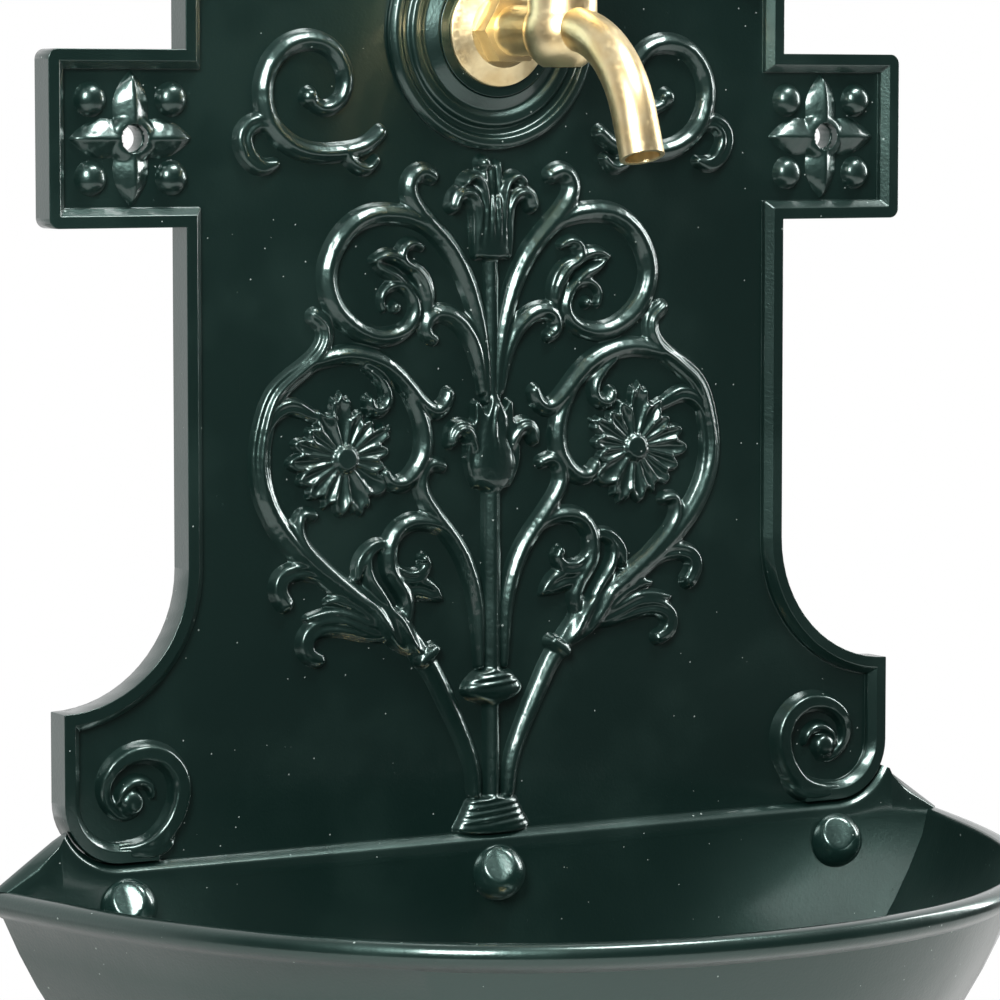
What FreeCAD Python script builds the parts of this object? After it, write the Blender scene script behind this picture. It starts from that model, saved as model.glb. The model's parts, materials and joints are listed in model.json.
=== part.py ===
import FreeCAD, Part
import math
import os
import Sketcher

# A garden fountain that hangs on a wall: a cast back plate with scroll relief in front,
# a brass bib tap through a round rosette, and a cast basin bolted to the plate's foot.
# X to the right, Z up, the wall is the plane Y = 0 and the front faces -Y.
# The origin is on the wall, midway between the two hanging holes.

V = FreeCAD.Vector
os.makedirs("parts", exist_ok=True)
doc = FreeCAD.newDocument("garden_fountain")

# Driving dimensions, in millimetres and degrees
DIMENSIONS = {
    # back plate
    "plate_depth": 13, "panel_recess": 5, "panel_wall": 4, "border_width": 7.5, "border_bevel": 3,
    "edge_wall": 5, "ear_half_width": 194.5, "ear_half_height": 34, "ear_corner": 4,
    "waist_half_width": 137, "shoulder_radius": 30, "shoulder_drop": 91, "apex_height": 185,
    "cove_start": -166, "block_half_width": 190, "block_bottom": -278, "block_corner": 24,
    "volute_edge": 150, "foot_half_width": 180, "foot_bottom": -345,
    # hanging holes
    "hanging_spacing": 316.6, "hanging_hole": 5, "hanging_boss": 10,
    # relief
    "ribbon_relief": 4.6, "star_hub": 9.5, "star_reach": 25.5, "star_width": 14, "star_relief": 4,
    "bead_radius": 6.4, "bead_offset_x": 17, "bead_offset_z": 15,
    "ring_radius": 47, "ring_relief": 4.5, "rosette_x": 67, "rosette_height": -126,
    "rosette_radius": 22, "rosette_boss": 6, "rosette_petals": 12, "petal_width": 9,
    "corner_ball": 7.5, "corner_ball_x": 157.5, "corner_ball_height": -252.5,
    "shell_root": 105, "shell_margin": 12, "shell_lobes": 7, "shell_bead": 5, "shell_boss": 9,
    # basin
    "basin_half_width": 220, "basin_reach": 225, "basin_wall": 5.5, "basin_back_wall": 6,
    "rim_height": -285, "rim_lip": 6, "rim_thickness": 11, "rim_rounding": 2, "bowl_depth": 112,
    "upstand_overlap": 4, "horn_width": 7, "horn_drop": 4.5, "horn_angle": -26,
    "bowl_floor_half_width": 72, "bowl_floor_reach": 104, "bowl_flare": 30, "joint_gap": 0.4,
    # basin bolts
    "bolt_spacing": 164, "bolt_height": -295, "bolt_radius": 3, "bolt_hole": 3.3,
    "bolt_head": 8, "bolt_head_height": 3.3, "nut_radius": 11.5, "nut_height": 11,
    # tap
    "tap_height": 42, "tap_land": 6, "tap_land_radius": 26, "tap_pocket_radius": 19,
    "tap_pocket_floor": 9, "tail_radius": 10.48, "tail_reach": 14, "tail_clearance": 0.3,
    "water_bore": 6.5, "passage": 4, "shoulder_hexagon": 9,
    "flange_radius": 22, "flange_thickness": 5, "seal_radius": 16,
    "seal_thickness": 1.5, "lock_nut_flats": 27, "lock_nut_thickness": 6, "tap_hexagon": 24,
    "chamber_distance": 64, "chamber_radius": 15.5, "chamber_bore": 10.5, "chamber_top": 61,
    "seat_height": 42, "seat_web": 4, "seat_orifice": 5.5, "barrel_radius": 10, "undercut": 0.8,
    "spout_radius": 8.6, "spout_wall": 1.8, "spout_bend": 50, "spout_lean": 20,
    "spout_front": 123, "spout_end_height": -7,
    # headwork
    "bonnet_hexagon": 24, "bonnet_hexagon_height": 9, "bonnet_neck": 8.5, "bonnet_top": 84,
    "bonnet_seal": 1.5, "carrier_flats": 12.5, "carrier_height": 13, "carrier_lift": 4.5,
    "carrier_floor": 1.5, "screw_radius": 4, "collar_radius": 6, "collar_thickness": 3,
    "stem_radius": 3.5, "stem_top": 99, "stem_square": 5, "running_gap": 0.05,
    "packing_radius": 6.2, "packing_height": 4, "gland_flats": 15, "gland_height": 4,
    "washer_radius": 9, "washer_thickness": 3, "washer_bore": 2.5, "handle_reach": 29,
    "handle_hub": 8.5, "handle_height": 13, "hub_foot": 3, "hub_shoulder": 4, "handle_arm": 3.6,
    "arm_taper": 0.6, "handle_knob": 5.2,
    "screw_shank": 2, "screw_head": 4.5, "screw_head_height": 3, "screw_length": 9,
    # basin waste
    "waste_distance": 60, "waste_radius": 15, "waste_bore": 11, "waste_flange": 22,
    "waste_flange_thickness": 3, "waste_length": 46, "waste_gasket": 2, "waste_gasket_radius": 21,
    "waste_nut_flats": 41, "waste_nut_thickness": 9, "waste_seat": 6, "waste_seat_margin": 4,
    "plug_taper": 1.6, "plug_gap": 0.3,
    "plug_height": 9, "plug_lip": 13.5, "plug_lip_thickness": 2.5, "plug_stalk": 2.5,
    "plug_knob": 6, "plug_stalk_height": 14,
}

sheet = doc.addObject("Spreadsheet::Sheet", "Dims")
for row, (alias, value) in enumerate(DIMENSIONS.items(), start=1):
    sheet.set(f"A{row}", alias)
    sheet.set(f"B{row}", str(value))
    sheet.setAlias(f"B{row}", alias)
doc.recompute()


def size(formula):
    """The value of a formula whose words are the sheet's names."""
    return float(sheet.evalExpression(formula))


def bound(formula):
    """The same formula as another object writes it, with every name led by the sheet's own."""
    words = sorted(DIMENSIONS, key=len, reverse=True)
    marked = formula
    for number, word in enumerate(words):
        marked = marked.replace(word, f"<{number}>")
    for number, word in enumerate(words):
        marked = marked.replace(f"<{number}>", f"Dims.{word}")
    return marked


# Places that several pieces share, worked out from the sheet
PANEL_FACE = -size("plate_depth - panel_recess")
PANEL_BACK = PANEL_FACE + size("panel_wall")
BORDER_FACE = -size("plate_depth")
TAP_LAND = PANEL_FACE - size("tap_land")
BASIN_FACE = PANEL_FACE - size("basin_back_wall")
CHAMBER_Y = -size("chamber_distance")
TAP_Z = size("tap_height")
SPOUT_LEAN = math.radians(size("spout_lean"))
BOLT_PLACES = (("-bolt_spacing", "bolt_height"), ("0", "bolt_height"), ("bolt_spacing", "bolt_height"))

TOWARDS_FRONT = FreeCAD.Rotation(V(1, 0, 0), 90)
TOWARDS_WALL = FreeCAD.Rotation(V(1, 0, 0), -90)


# Helpers: bodies, sketches and their features

def origin_part(body, role):
    return [part for part in body.Origin.OriginFeatures if part.Role == role][0]


def new_body(label, place=None, rotation=None):
    body = doc.addObject("PartDesign::Body", label)
    body.Label = label
    body.AllowCompound = True
    body.Placement = FreeCAD.Placement(place or V(), rotation or FreeCAD.Rotation())
    return body


def new_sketch(body, name, plane="XZ_Plane", shift=None):
    sketch = body.newObject("Sketcher::SketchObject", f"{body.Label}_{name}")
    sketch.AttachmentSupport = [(origin_part(body, plane), "")]
    sketch.MapMode = "FlatFace"
    if shift:
        sketch.setExpression("AttachmentOffset.Base.z", bound(shift))
    return sketch


def corner_sketch(body, name, corners, plane="XZ_Plane", shift=None):
    """A closed outline of straight lines; each corner is a pair of formulas."""
    sketch = new_sketch(body, name, plane, shift)
    points = [V(size(across), size(up), 0) for across, up in corners]
    count = len(points)
    for i in range(count):
        sketch.addGeometry(Part.LineSegment(points[i], points[(i + 1) % count]))
    for i in range(count):
        sketch.addConstraint(Sketcher.Constraint("Coincident", i, 2, (i + 1) % count, 1))
    for i, (across, up) in enumerate(corners):
        for kind, formula, value in (("DistanceX", across, points[i].x), ("DistanceY", up, points[i].y)):
            number = sketch.addConstraint(Sketcher.Constraint(kind, -1, 1, i, 1, value))
            sketch.setExpression(f"Constraints[{number}]", bound(formula))
    return sketch


def circle_sketch(body, name, radius, centres=(("0", "0"),), plane="XY_Plane", shift=None):
    sketch = new_sketch(body, name, plane, shift)
    for i, (across, up) in enumerate(centres):
        place = V(size(across), size(up), 0)
        sketch.addGeometry(Part.Circle(place, V(0, 0, 1), size(radius)))
        number = sketch.addConstraint(Sketcher.Constraint("Radius", i, size(radius)))
        sketch.setExpression(f"Constraints[{number}]", bound(radius))
        for kind, formula, value in (("DistanceX", across, place.x), ("DistanceY", up, place.y)):
            number = sketch.addConstraint(Sketcher.Constraint(kind, -1, 1, i, 3, value))
            sketch.setExpression(f"Constraints[{number}]", bound(formula))
    return sketch


def polygon_sketch(body, name, flats, sides=6, shift=None, turn=0.0):
    """A regular polygon about the origin, given its width across flats."""
    sketch = new_sketch(body, name, "XY_Plane", shift)
    reach = size(flats) / 2 / math.cos(math.pi / sides)
    points = []
    for i in range(sides):
        angle = turn + 2 * math.pi * i / sides
        points.append(V(reach * math.cos(angle), reach * math.sin(angle), 0))
    for i in range(sides):
        sketch.addGeometry(Part.LineSegment(points[i], points[(i + 1) % sides]))
    for i in range(sides):
        sketch.addConstraint(Sketcher.Constraint("Coincident", i, 2, (i + 1) % sides, 1))
    return sketch


def outline_sketch(body, name, edges, shift=None):
    """A sketch of ready lines and arcs in the plane of the wall."""
    sketch = new_sketch(body, name, "XZ_Plane", shift)
    for edge in edges:
        sketch.addGeometry(edge)
    return sketch


def pad(body, sketch, length, backwards=False):
    feature = body.newObject("PartDesign::Pad", f"{sketch.Name}_pad")
    feature.Profile = sketch
    feature.setExpression("Length", bound(length))
    feature.Reversed = backwards
    return feature


def pocket(body, sketch, length, forwards=False):
    """A pocket cut against its sketch's normal, or along it."""
    feature = body.newObject("PartDesign::Pocket", f"{sketch.Name}_pocket")
    feature.Profile = sketch
    feature.setExpression("Length", bound(length))
    feature.Reversed = forwards
    return feature


def turn(body, name, corners):
    """A solid turned about the body's Z from corners of radius and height."""
    sketch = corner_sketch(body, name, corners)
    feature = body.newObject("PartDesign::Revolution", f"{sketch.Name}_turned")
    feature.Profile = sketch
    feature.ReferenceAxis = (sketch, ["V_Axis"])
    feature.Angle = 360
    return feature


def row_of(body, feature, name, axis, length, count):
    pattern = body.newObject("PartDesign::LinearPattern", f"{body.Label}_{name}")
    pattern.Originals = [feature]
    pattern.Direction = (origin_part(body, axis), [""])
    pattern.setExpression("Length", bound(length))
    pattern.Occurrences = count
    body.Tip = pattern
    return pattern


def dress(body, kind, name, edges, dimension, formula):
    """Round or bevel named edges of what the body holds so far."""
    base = body.Tip
    feature = body.newObject(kind, name)
    feature.Base = (base, edges)
    feature.setExpression(dimension, bound(formula))
    doc.recompute()


def finished(label, shape):
    """A sub-part whose shape no sketch gives."""
    feature = doc.addObject("Part::Feature", label)
    feature.Label = label
    feature.Shape = shape
    return feature


# Back plate

def arc_about(centre, radius, first, last):
    """An arc in the wall's plane between two angles in degrees."""
    points = []
    for angle in (first, (first + last) / 2, last):
        turn_angle = math.radians(angle)
        points.append(centre + V(math.cos(turn_angle), math.sin(turn_angle), 0) * radius)
    return Part.Arc(*points)


def angle_of(point, centre):
    return math.degrees(math.atan2(point.y - centre.y, point.x - centre.x))


def right_half(inset, foot):
    """The plate's right-hand outline from its apex down, moved in by inset.

    With a foot it runs on behind the basin; without, it stops where the volute begins.
    """
    apex = size("apex_height")
    waist = size("waist_half_width")
    shoulder = V(waist - size("shoulder_radius"), apex - size("shoulder_drop"), 0)
    crown_centre = V(0, (apex ** 2 - shoulder.x ** 2 - shoulder.y ** 2) / 2 / (apex - shoulder.y), 0)
    crown = apex - crown_centre.y - inset
    cove = size("shoulder_radius") + inset
    cove_centre = V(waist, shoulder.y, 0)
    apart = cove_centre - crown_centre
    along = (apart.Length ** 2 + crown ** 2 - cove ** 2) / 2 / apart.Length
    across = math.sqrt(crown ** 2 - along ** 2)
    way = apart / apart.Length
    meet = crown_centre + way * along + V(-way.y, way.x, 0) * across
    side = waist - inset
    cove_end = V(side, cove_centre.y - math.sqrt(cove ** 2 - inset ** 2), 0)
    ear = V(size("ear_half_width") - inset, size("ear_half_height") - inset, 0)
    low_centre = V(size("block_half_width"), size("cove_start"), 0)
    low_cove = size("block_half_width") - waist + inset
    block = size("block_half_width") - inset
    block_top = V(block, low_centre.y - math.sqrt(low_cove ** 2 - inset ** 2), 0)
    corner = size("block_corner")
    corner_centre = V(size("block_half_width") - corner, size("block_bottom") + corner, 0)
    round_start = V(block, corner_centre.y, 0)
    edges = [
        arc_about(crown_centre, crown, 90, angle_of(meet, crown_centre)),
        arc_about(cove_centre, cove, angle_of(meet, cove_centre) % 360, angle_of(cove_end, cove_centre) % 360),
    ]
    stops = [cove_end, V(side, ear.y, 0), ear, V(ear.x, -ear.y, 0), V(side, -ear.y, 0), V(side, low_centre.y, 0)]
    for start, end in zip(stops, stops[1:]):
        edges.append(Part.LineSegment(start, end))
    edges.append(arc_about(low_centre, low_cove, 180, angle_of(block_top, low_centre) % 360))
    edges.append(Part.LineSegment(block_top, round_start))
    if foot:
        foot_side = size("foot_half_width") - inset
        reach = corner - inset
        foot_top = V(foot_side, corner_centre.y - math.sqrt(reach ** 2 - (foot_side - corner_centre.x) ** 2), 0)
        edges.append(arc_about(corner_centre, reach, 0, angle_of(foot_top, corner_centre)))
        low = V(foot_side, size("foot_bottom") + inset, 0)
        edges.append(Part.LineSegment(foot_top, low))
        edges.append(Part.LineSegment(low, V(0, low.y, 0)))
    else:
        round_end = V(corner_centre.x, corner_centre.y - corner + inset, 0)
        volute = V(size("volute_edge"), round_end.y, 0)
        outer_end = V(volute.x, size("block_bottom"), 0)
        outer_round = V(corner_centre.x, size("block_bottom"), 0)
        foot_side = size("foot_half_width")
        foot_top = V(foot_side, corner_centre.y - math.sqrt(corner ** 2 - (foot_side - corner_centre.x) ** 2), 0)
        beyond = size("ear_half_width")
        below = size("foot_bottom") - corner
        edges.append(arc_about(corner_centre, corner - inset, 0, -90))
        edges.append(Part.LineSegment(round_end, volute))
        edges.append(Part.LineSegment(volute, outer_end))
        edges.append(Part.LineSegment(outer_end, outer_round))
        edges.append(arc_about(corner_centre, corner, -90, angle_of(foot_top, corner_centre)))
        edges.append(Part.LineSegment(foot_top, V(beyond, foot_top.y, 0)))
        edges.append(Part.LineSegment(V(beyond, foot_top.y, 0), V(beyond, below, 0)))
        edges.append(Part.LineSegment(V(beyond, below, 0), V(0, below, 0)))
    return edges


def both_halves(edges):
    """The outline with its mirror image in the plane X = 0."""
    mirrored = []
    for edge in edges:
        middle = edge.value((edge.FirstParameter + edge.LastParameter) / 2)
        points = [V(-point.x, point.y, 0) for point in (edge.StartPoint, middle, edge.EndPoint)]
        if isinstance(edge, Part.LineSegment):
            mirrored.append(Part.LineSegment(points[0], points[2]))
        else:
            mirrored.append(Part.Arc(*points))
    return edges + mirrored


def corner_edges(shape, places):
    """Names of the edges that run front to back at the given X and Z."""
    names = []
    for number, edge in enumerate(shape.Edges, start=1):
        ends = [vertex.Point for vertex in edge.Vertexes]
        if len(ends) != 2 or abs(ends[0].x - ends[1].x) + abs(ends[0].z - ends[1].z) > 0.01:
            continue
        for across, up in places:
            if abs(abs(ends[0].x) - across) < 0.01 and abs(ends[0].z - up) < 0.01:
                names.append(f"Edge{number}")
    return names


def make_back_plate():
    body = new_body("back_plate")
    pad(body, outline_sketch(body, "outline", both_halves(right_half(0, True))), "plate_depth")
    doc.recompute()
    ear_places = [
        (size("ear_half_width"), size("ear_half_height")),
        (size("ear_half_width"), -size("ear_half_height")),
    ]
    dress(body, "PartDesign::Fillet", "ear_rounding", corner_edges(body.Shape, ear_places), "Radius", "ear_corner")
    recess = outline_sketch(body, "recess", both_halves(right_half(size("border_width"), False)), "plate_depth")
    pocket(body, recess, "panel_recess")
    doc.recompute()
    bevel_top = outline_sketch(
        body, "bevel_top", both_halves(right_half(size("border_width - border_bevel"), False)), "plate_depth"
    )
    bevel_low = outline_sketch(
        body, "bevel_low", both_halves(right_half(size("border_width"), False)), "plate_depth - border_bevel"
    )
    bevel = body.newObject("PartDesign::SubtractiveLoft", "border_bevel")
    bevel.Profile = bevel_top
    bevel.Sections = [bevel_low]
    bevel.Ruled = True
    doc.recompute()
    hollow = outline_sketch(body, "hollow", both_halves(right_half(size("edge_wall"), True)))
    pocket(body, hollow, "plate_depth - panel_recess - panel_wall", forwards=True)
    holes = (("-hanging_spacing / 2", "0"), ("hanging_spacing / 2", "0"))
    bosses = circle_sketch(body, "bosses", "hanging_boss", holes, "XZ_Plane")
    pad(body, bosses, "plate_depth - panel_recess - panel_wall / 2")
    tap_centre = (("0", "tap_height"),)
    land = circle_sketch(body, "land", "tap_land_radius", tap_centre, "XZ_Plane", "plate_depth - panel_recess")
    pad(body, land, "tap_land")
    room = circle_sketch(body, "room", "tap_pocket_radius", tap_centre, "XZ_Plane")
    pocket(body, room, "tap_pocket_floor", forwards=True)
    hanging = circle_sketch(body, "hanging", "hanging_hole", holes, "XZ_Plane")
    pocket(body, hanging, "plate_depth", forwards=True)
    inlet = circle_sketch(body, "inlet", "tail_radius + tail_clearance", tap_centre, "XZ_Plane")
    pocket(body, inlet, "plate_depth + tap_land", forwards=True)
    bolts = circle_sketch(body, "bolts", "bolt_hole", BOLT_PLACES, "XZ_Plane")
    pocket(body, bolts, "plate_depth", forwards=True)
    return body


# Relief: D-shaped ribbons, leaves and domes that stand on the panel

def ribbon(points, widths, relief=None, base=None):
    """A band with a rounded top along a smooth line; widths at its start, middle and end."""
    foot = PANEL_FACE if base is None else base
    height = relief or size("ribbon_relief")
    line = Part.BSplineCurve()
    line.interpolate([V(across, 0, up) for across, up in points])
    length = line.length()
    widest = max(widths)
    steps = max(5, int(length / widest / 1.4))
    sections = []
    for step in range(steps + 1):
        share = step / steps
        reach = line.parameterAtDistance(length * share) if step < steps else line.LastParameter
        place = line.value(reach)
        way = line.tangent(reach)[0]
        side = V(way.z, 0, -way.x)
        start, middle, end = widths
        width = start * (1 - share) * (1 - 2 * share)
        width += middle * 4 * share * (1 - share) + end * share * (2 * share - 1)
        left = place - side * (width / 2)
        right = place + side * (width / 2)
        top = place
        left.y = foot
        right.y = foot
        top.y = foot - height * math.sqrt(width / widest)
        sections.append(Part.Wire([Part.Arc(left, top, right).toShape(), Part.makeLine(right, left)]))
    return Part.makeLoft(sections, True, False, False)


def dome(across, up, radius, base=None, height=None):
    """Half a ball on the panel, flattened to the given height."""
    foot = PANEL_FACE if base is None else base
    ball = Part.makeSphere(radius, V(), V(0, -1, 0), 0, 90, 360)
    if height:
        squash = FreeCAD.Matrix()
        squash.scale(1, height / radius, 1)
        ball = ball.transformGeometry(squash)
    ball.translate(V(across, foot, up))
    return ball


def fused(solids):
    joined = solids[0]
    for solid in solids[1:]:
        joined = joined.fuse(solid)
    return joined


def other_side(shape):
    return shape.mirror(V(), V(1, 0, 0))


# Each stroke of the right-hand scrollwork: points from root to tip, then its widths
LOWER_STROKES = {
    "outer_scroll": (
        [(9.8, -262), (11, -253), (14, -243), (18.5, -232), (23.5, -221), (28.5, -211), (34, -203.5), (42, -195),
         (52, -188), (66, -180), (79, -170), (89, -160), (96, -150), (101, -140), (104, -127), (102, -112),
         (97, -100), (89, -93), (82, -88), (76, -80), (76, -73), (82, -69)],
        (7, 9, 6),
    ),
    "rosette_ring": (
        [(92, -96), (88, -92), (80, -88.5), (68, -86), (57, -88), (47, -93), (39, -102), (34.5, -112),
         (34.5, -123), (38, -133), (42, -138), (46, -141)],
        (4, 7, 3),
    ),
    "ring_tail": (
        [(45, -93), (39, -100), (33, -106.5), (28, -109), (23.5, -106.5), (22.5, -102.5), (26, -100)],
        (5, 6, 5),
    ),
    "ring_hook": ([(49, -92), (46, -97), (46, -102), (49, -105.5), (53, -104)], (5, 5, 3)),
    "inner_scroll": (
        [(8.8, -210.5), (9.2, -198), (10.2, -186), (13, -172), (17.5, -161), (24, -151.5), (31, -143), (34, -137),
         (32.5, -131), (27, -128.5), (22.5, -131)],
        (7, 8, 5),
    ),
    "inner_branch": (
        [(15, -163), (22, -156.5), (30, -153), (38, -153.5), (46, -158), (54, -163), (61, -168), (60, -175)],
        (4, 8, 3),
    ),
    "inner_spiral": (
        [(44, -158), (43, -167), (40, -172), (35.5, -174), (31, -171.5), (31.5, -167), (35, -166)],
        (6, 6, 4),
    ),
    "inner_bract": ([(40, -173), (35, -180), (28, -183), (23, -184)], (5, 8, 2)),
    "outer_shoot": ([(62, -182), (74, -172), (82, -162), (86, -153), (83, -147), (78, -149)], (6, 7, 3)),
    "leaf_high": ([(68, -176), (79, -171), (90, -168), (98, -171), (99, -177), (92, -182)], (5, 9, 3)),
    "leaf_low": (
        [(44, -196), (56, -189), (68, -186.5), (80, -188.5), (88, -196), (86, -203), (79, -204)],
        (6, 10, 3),
    ),
}

UPPER_STROKES = {
    "upper_stem": (
        [(8.2, -95.5), (8.5, -86), (9.5, -74), (12, -62), (16.5, -51), (24, -40), (32, -31), (38, -23), (40, -17.5),
         (37, -13), (32, -12), (29, -16)],
        (6, 8, 5),
    ),
    "upper_spiral": (
        [(22, -41), (27, -36.5), (35, -32), (45, -30), (55, -30.5), (64, -35), (71, -43.5), (74, -54), (72, -64.5),
         (66, -72), (57, -77), (48, -78), (39.5, -75), (34, -69), (33, -62), (38, -58), (45, -57.5), (51, -61)],
        (7, 8, 5),
    ),
    "upper_leaf": ([(34, -66), (35, -57), (40, -50), (48, -47), (56, -48)], (4, 8, 2)),
    "small_branch": ([(12, -92), (13.5, -83), (17.5, -75), (23, -70), (28.5, -70.5), (31, -76)], (4, 7, 3)),
}

CORNER_STROKES = {
    "corner_ribbon": (
        [(148.6, -274.2), (140, -268.5), (135, -260), (134, -249), (139, -239), (149, -232.5), (160, -233),
         (169, -240), (172.5, -248.5), (168.5, -257), (160, -260)],
        (7, 8.5, 6),
    ),
}

TAP_SCROLL_STROKES = {
    "side_volute": (
        [(50.5, 2), (57, -3), (67, -5.5), (77, -6), (88, -3.5), (97, 3.5), (101.5, 14), (100, 26), (92.5, 35),
         (81, 38), (71, 34), (66, 25.5), (67.5, 16), (75, 11.5), (82, 15)],
        (7, 8, 5),
    ),
    "volute_leaf": ([(97, 2), (104, 6), (110, 2), (109, -6), (103, -11), (97, -10)], (5, 8, 3)),
    "volute_hook": ([(67, -5), (62, -10.5), (56.5, -12), (52.5, -8.5)], (5, 5, 3)),
}


def strokes_of(table):
    return [ribbon(*stroke) for stroke in table.values()]


def make_scrollwork():
    right = Part.makeCompound([fused(strokes_of(LOWER_STROKES)), fused(strokes_of(UPPER_STROKES))])
    finished("scroll_right", right)
    finished("scroll_left", other_side(right))


def make_corner_volutes():
    ball = dome(size("corner_ball_x"), size("corner_ball_height"), size("corner_ball"))
    right = fused(strokes_of(CORNER_STROKES) + [ball])
    finished("corner_volutes", Part.makeCompound([other_side(right), right]))


def make_tap_scrolls():
    right = fused(strokes_of(TAP_SCROLL_STROKES))
    finished("tap_scrolls", Part.makeCompound([other_side(right), right]))


def make_rosettes():
    """Two flower heads: a round boss in a ring of pointed petals."""
    petals = int(size("rosette_petals"))
    centre = V(size("rosette_x"), 0, size("rosette_height"))
    solids = [dome(centre.x, centre.z, size("rosette_boss"), height=size("ribbon_relief") + 1)]
    for petal in range(petals):
        angle = 2 * math.pi * (petal + 0.5) / petals
        points = []
        for share in (0.15, 0.45, 0.75, 1.0):
            swing = angle + 0.12 * math.sin(share * math.pi)
            reach = size("rosette_radius") * share
            points.append((centre.x + reach * math.cos(swing), centre.z + reach * math.sin(swing)))
        solids.append(ribbon(points, (4, size("petal_width"), 1.5), size("ribbon_relief") - 0.8))
    right = fused(solids)
    finished("rosettes", Part.makeCompound([other_side(right), right]))


def turned_relief(profile):
    """The front half of a turned upright piece; the profile is height and half width."""
    sections = []
    tallest = max(half for _, half in profile)
    for up, half in profile:
        height = size("ribbon_relief") * (1.1 + 0.5 * half / tallest)
        left = V(-half, PANEL_FACE, up)
        right = V(half, PANEL_FACE, up)
        top = V(0, PANEL_FACE - height, up)
        sections.append(Part.Wire([Part.Arc(left, top, right).toShape(), Part.makeLine(right, left)]))
    return Part.makeLoft(sections, True, False, False)


def make_centre_stem():
    """The upright stalk with its plinth, collar, tulip cup and lily."""
    stalk = [
        ribbon([(0, -266), (0, -254), (0, -241), (0, -227)], (9, 9, 9)),
        ribbon([(0, -214), (0, -190), (0, -166), (0, -140)], (9, 9, 9)),
        ribbon([(0, -101), (0, -84), (0, -65), (0, -46)], (9, 8, 8)),
    ]
    plinth = turned_relief([(-278.2, 17.5), (-276, 18.5), (-273, 16), (-270, 13.5), (-265, 12.5)])
    collar = turned_relief([(-228.5, 9), (-226, 14), (-222, 15), (-218.5, 12), (-213, 13.5)])
    cup = turned_relief([(-142, 3), (-139, 8), (-131, 11.5), (-120, 12), (-110, 9.5), (-99, 5)])
    lily = turned_relief([(-48, 4.5), (-43, 7.5), (-34, 8.5), (-25, 8)])
    leaves = []
    for points, widths in (
        ([(8, -133), (15, -127), (19, -121), (21, -116)], (6, 8, 1.5)),
        ([(5, -112), (7.5, -108), (9, -104), (9.5, -100.5)], (5, 6, 1.5)),
        ([(5, -28), (11, -22), (17, -20.5), (22, -24), (21, -28)], (6, 7, 2)),
        ([(3, -28), (6, -20), (9.5, -15), (13.5, -13)], (5, 7, 1.5)),
    ):
        leaf = ribbon(points, widths)
        leaves.append(leaf)
        leaves.append(other_side(leaf))
    leaves.append(ribbon([(0, -28), (0, -20), (0, -13), (0, -6)], (6, 7, 1.5)))
    finished("centre_stem", fused(stalk + [plinth, collar, cup, lily] + leaves))


def make_tap_ring():
    """The ring of mouldings round the tap's land."""
    body = new_body("tap_ring", V(0, PANEL_FACE, TAP_Z), TOWARDS_FRONT)
    turn(body, "moulding", [
        ("tap_land_radius + joint_gap / 4", "0"),
        ("ring_radius", "0"),
        ("ring_radius", "ring_relief * 0.6"),
        ("ring_radius - 1.5", "ring_relief"),
        ("ring_radius - 4", "ring_relief"),
        ("ring_radius - 5.5", "ring_relief * 0.4"),
        ("ring_radius - 8", "ring_relief * 0.4"),
        ("ring_radius - 9.5", "ring_relief * 0.8"),
        ("ring_radius - 13", "ring_relief * 0.8"),
        ("tap_land_radius + 5", "ring_relief * 0.5"),
        ("tap_land_radius + joint_gap / 4", "tap_land"),
    ])


def make_pediment_shell():
    """A fan of lobes over a small roll, in the arched head of the plate."""
    root = V(0, 0, size("shell_root"))
    reach = size("apex_height - border_width - shell_margin") - root.z
    lobes = int(size("shell_lobes"))
    solids = []
    for lobe in range(lobes):
        angle = math.radians(180 * (lobe + 0.5) / lobes)
        stretch = reach * (0.72 + 0.28 * math.sin(angle))
        points = []
        for share in (0.12, 0.4, 0.7, 1.0):
            points.append((stretch * share * math.cos(angle), root.z + stretch * share * math.sin(angle)))
        solids.append(ribbon(points, (4, 12, 9)))
        solids.append(dome(points[-1][0], points[-1][1], size("shell_bead")))
    for side in (1, -1):
        roll = [(0, -7), (18, -8), (36, -10), (52, -9), (60, 0), (55, 8), (47, 5)]
        solids.append(ribbon([(side * across, root.z + up) for across, up in roll], (8, 8, 5)))
    solids.append(dome(0, root.z - 3, size("shell_boss"), height=size("ribbon_relief") + 2))
    finished("pediment_shell", fused(solids))


def make_star_bosses():
    """A four-armed star round each hanging hole."""
    hub = Part.makeCylinder(size("star_hub"), size("star_relief"), V(0, PANEL_FACE, 0), V(0, -1, 0))
    arms = []
    for arm in range(4):
        half = size("star_width") / 2
        reach = size("star_reach")
        corners = [V(0, 0, 0), V(half, 0, reach * 0.3), V(0, 0, reach), V(-half, 0, reach * 0.3)]
        face = Part.Face(Part.makePolygon(corners + corners[:1]))
        peak = V(0, -size("star_relief"), reach * 0.3)
        faces = [face]
        for start, end in zip(corners, corners[1:] + corners[:1]):
            faces.append(Part.Face(Part.makePolygon([start, end, peak, start])))
        kite = Part.Solid(Part.Shell(faces))
        kite.rotate(V(), V(0, 1, 0), 90 * arm)
        kite.translate(V(0, PANEL_FACE, 0))
        arms.append(kite)
    star = hub.multiFuse(arms)
    hole = Part.makeCylinder(size("hanging_hole"), size("plate_depth"), V(0, 0, 0), V(0, -1, 0))
    star = star.cut(hole)
    star.translate(V(size("hanging_spacing") / 2, 0, 0))
    finished("star_bosses", Part.makeCompound([other_side(star), star]))


def make_ear_beads():
    beads = []
    radius = size("bead_radius")
    height = size("star_relief") + 1
    for side in (-1, 1):
        for across in (-1, 1):
            for up in (-1, 1):
                place = side * size("hanging_spacing") / 2 + across * size("bead_offset_x")
                beads.append(dome(place, up * size("bead_offset_z"), radius, height=height))
    finished("ear_beads", Part.makeCompound(beads))


# Basin

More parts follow.
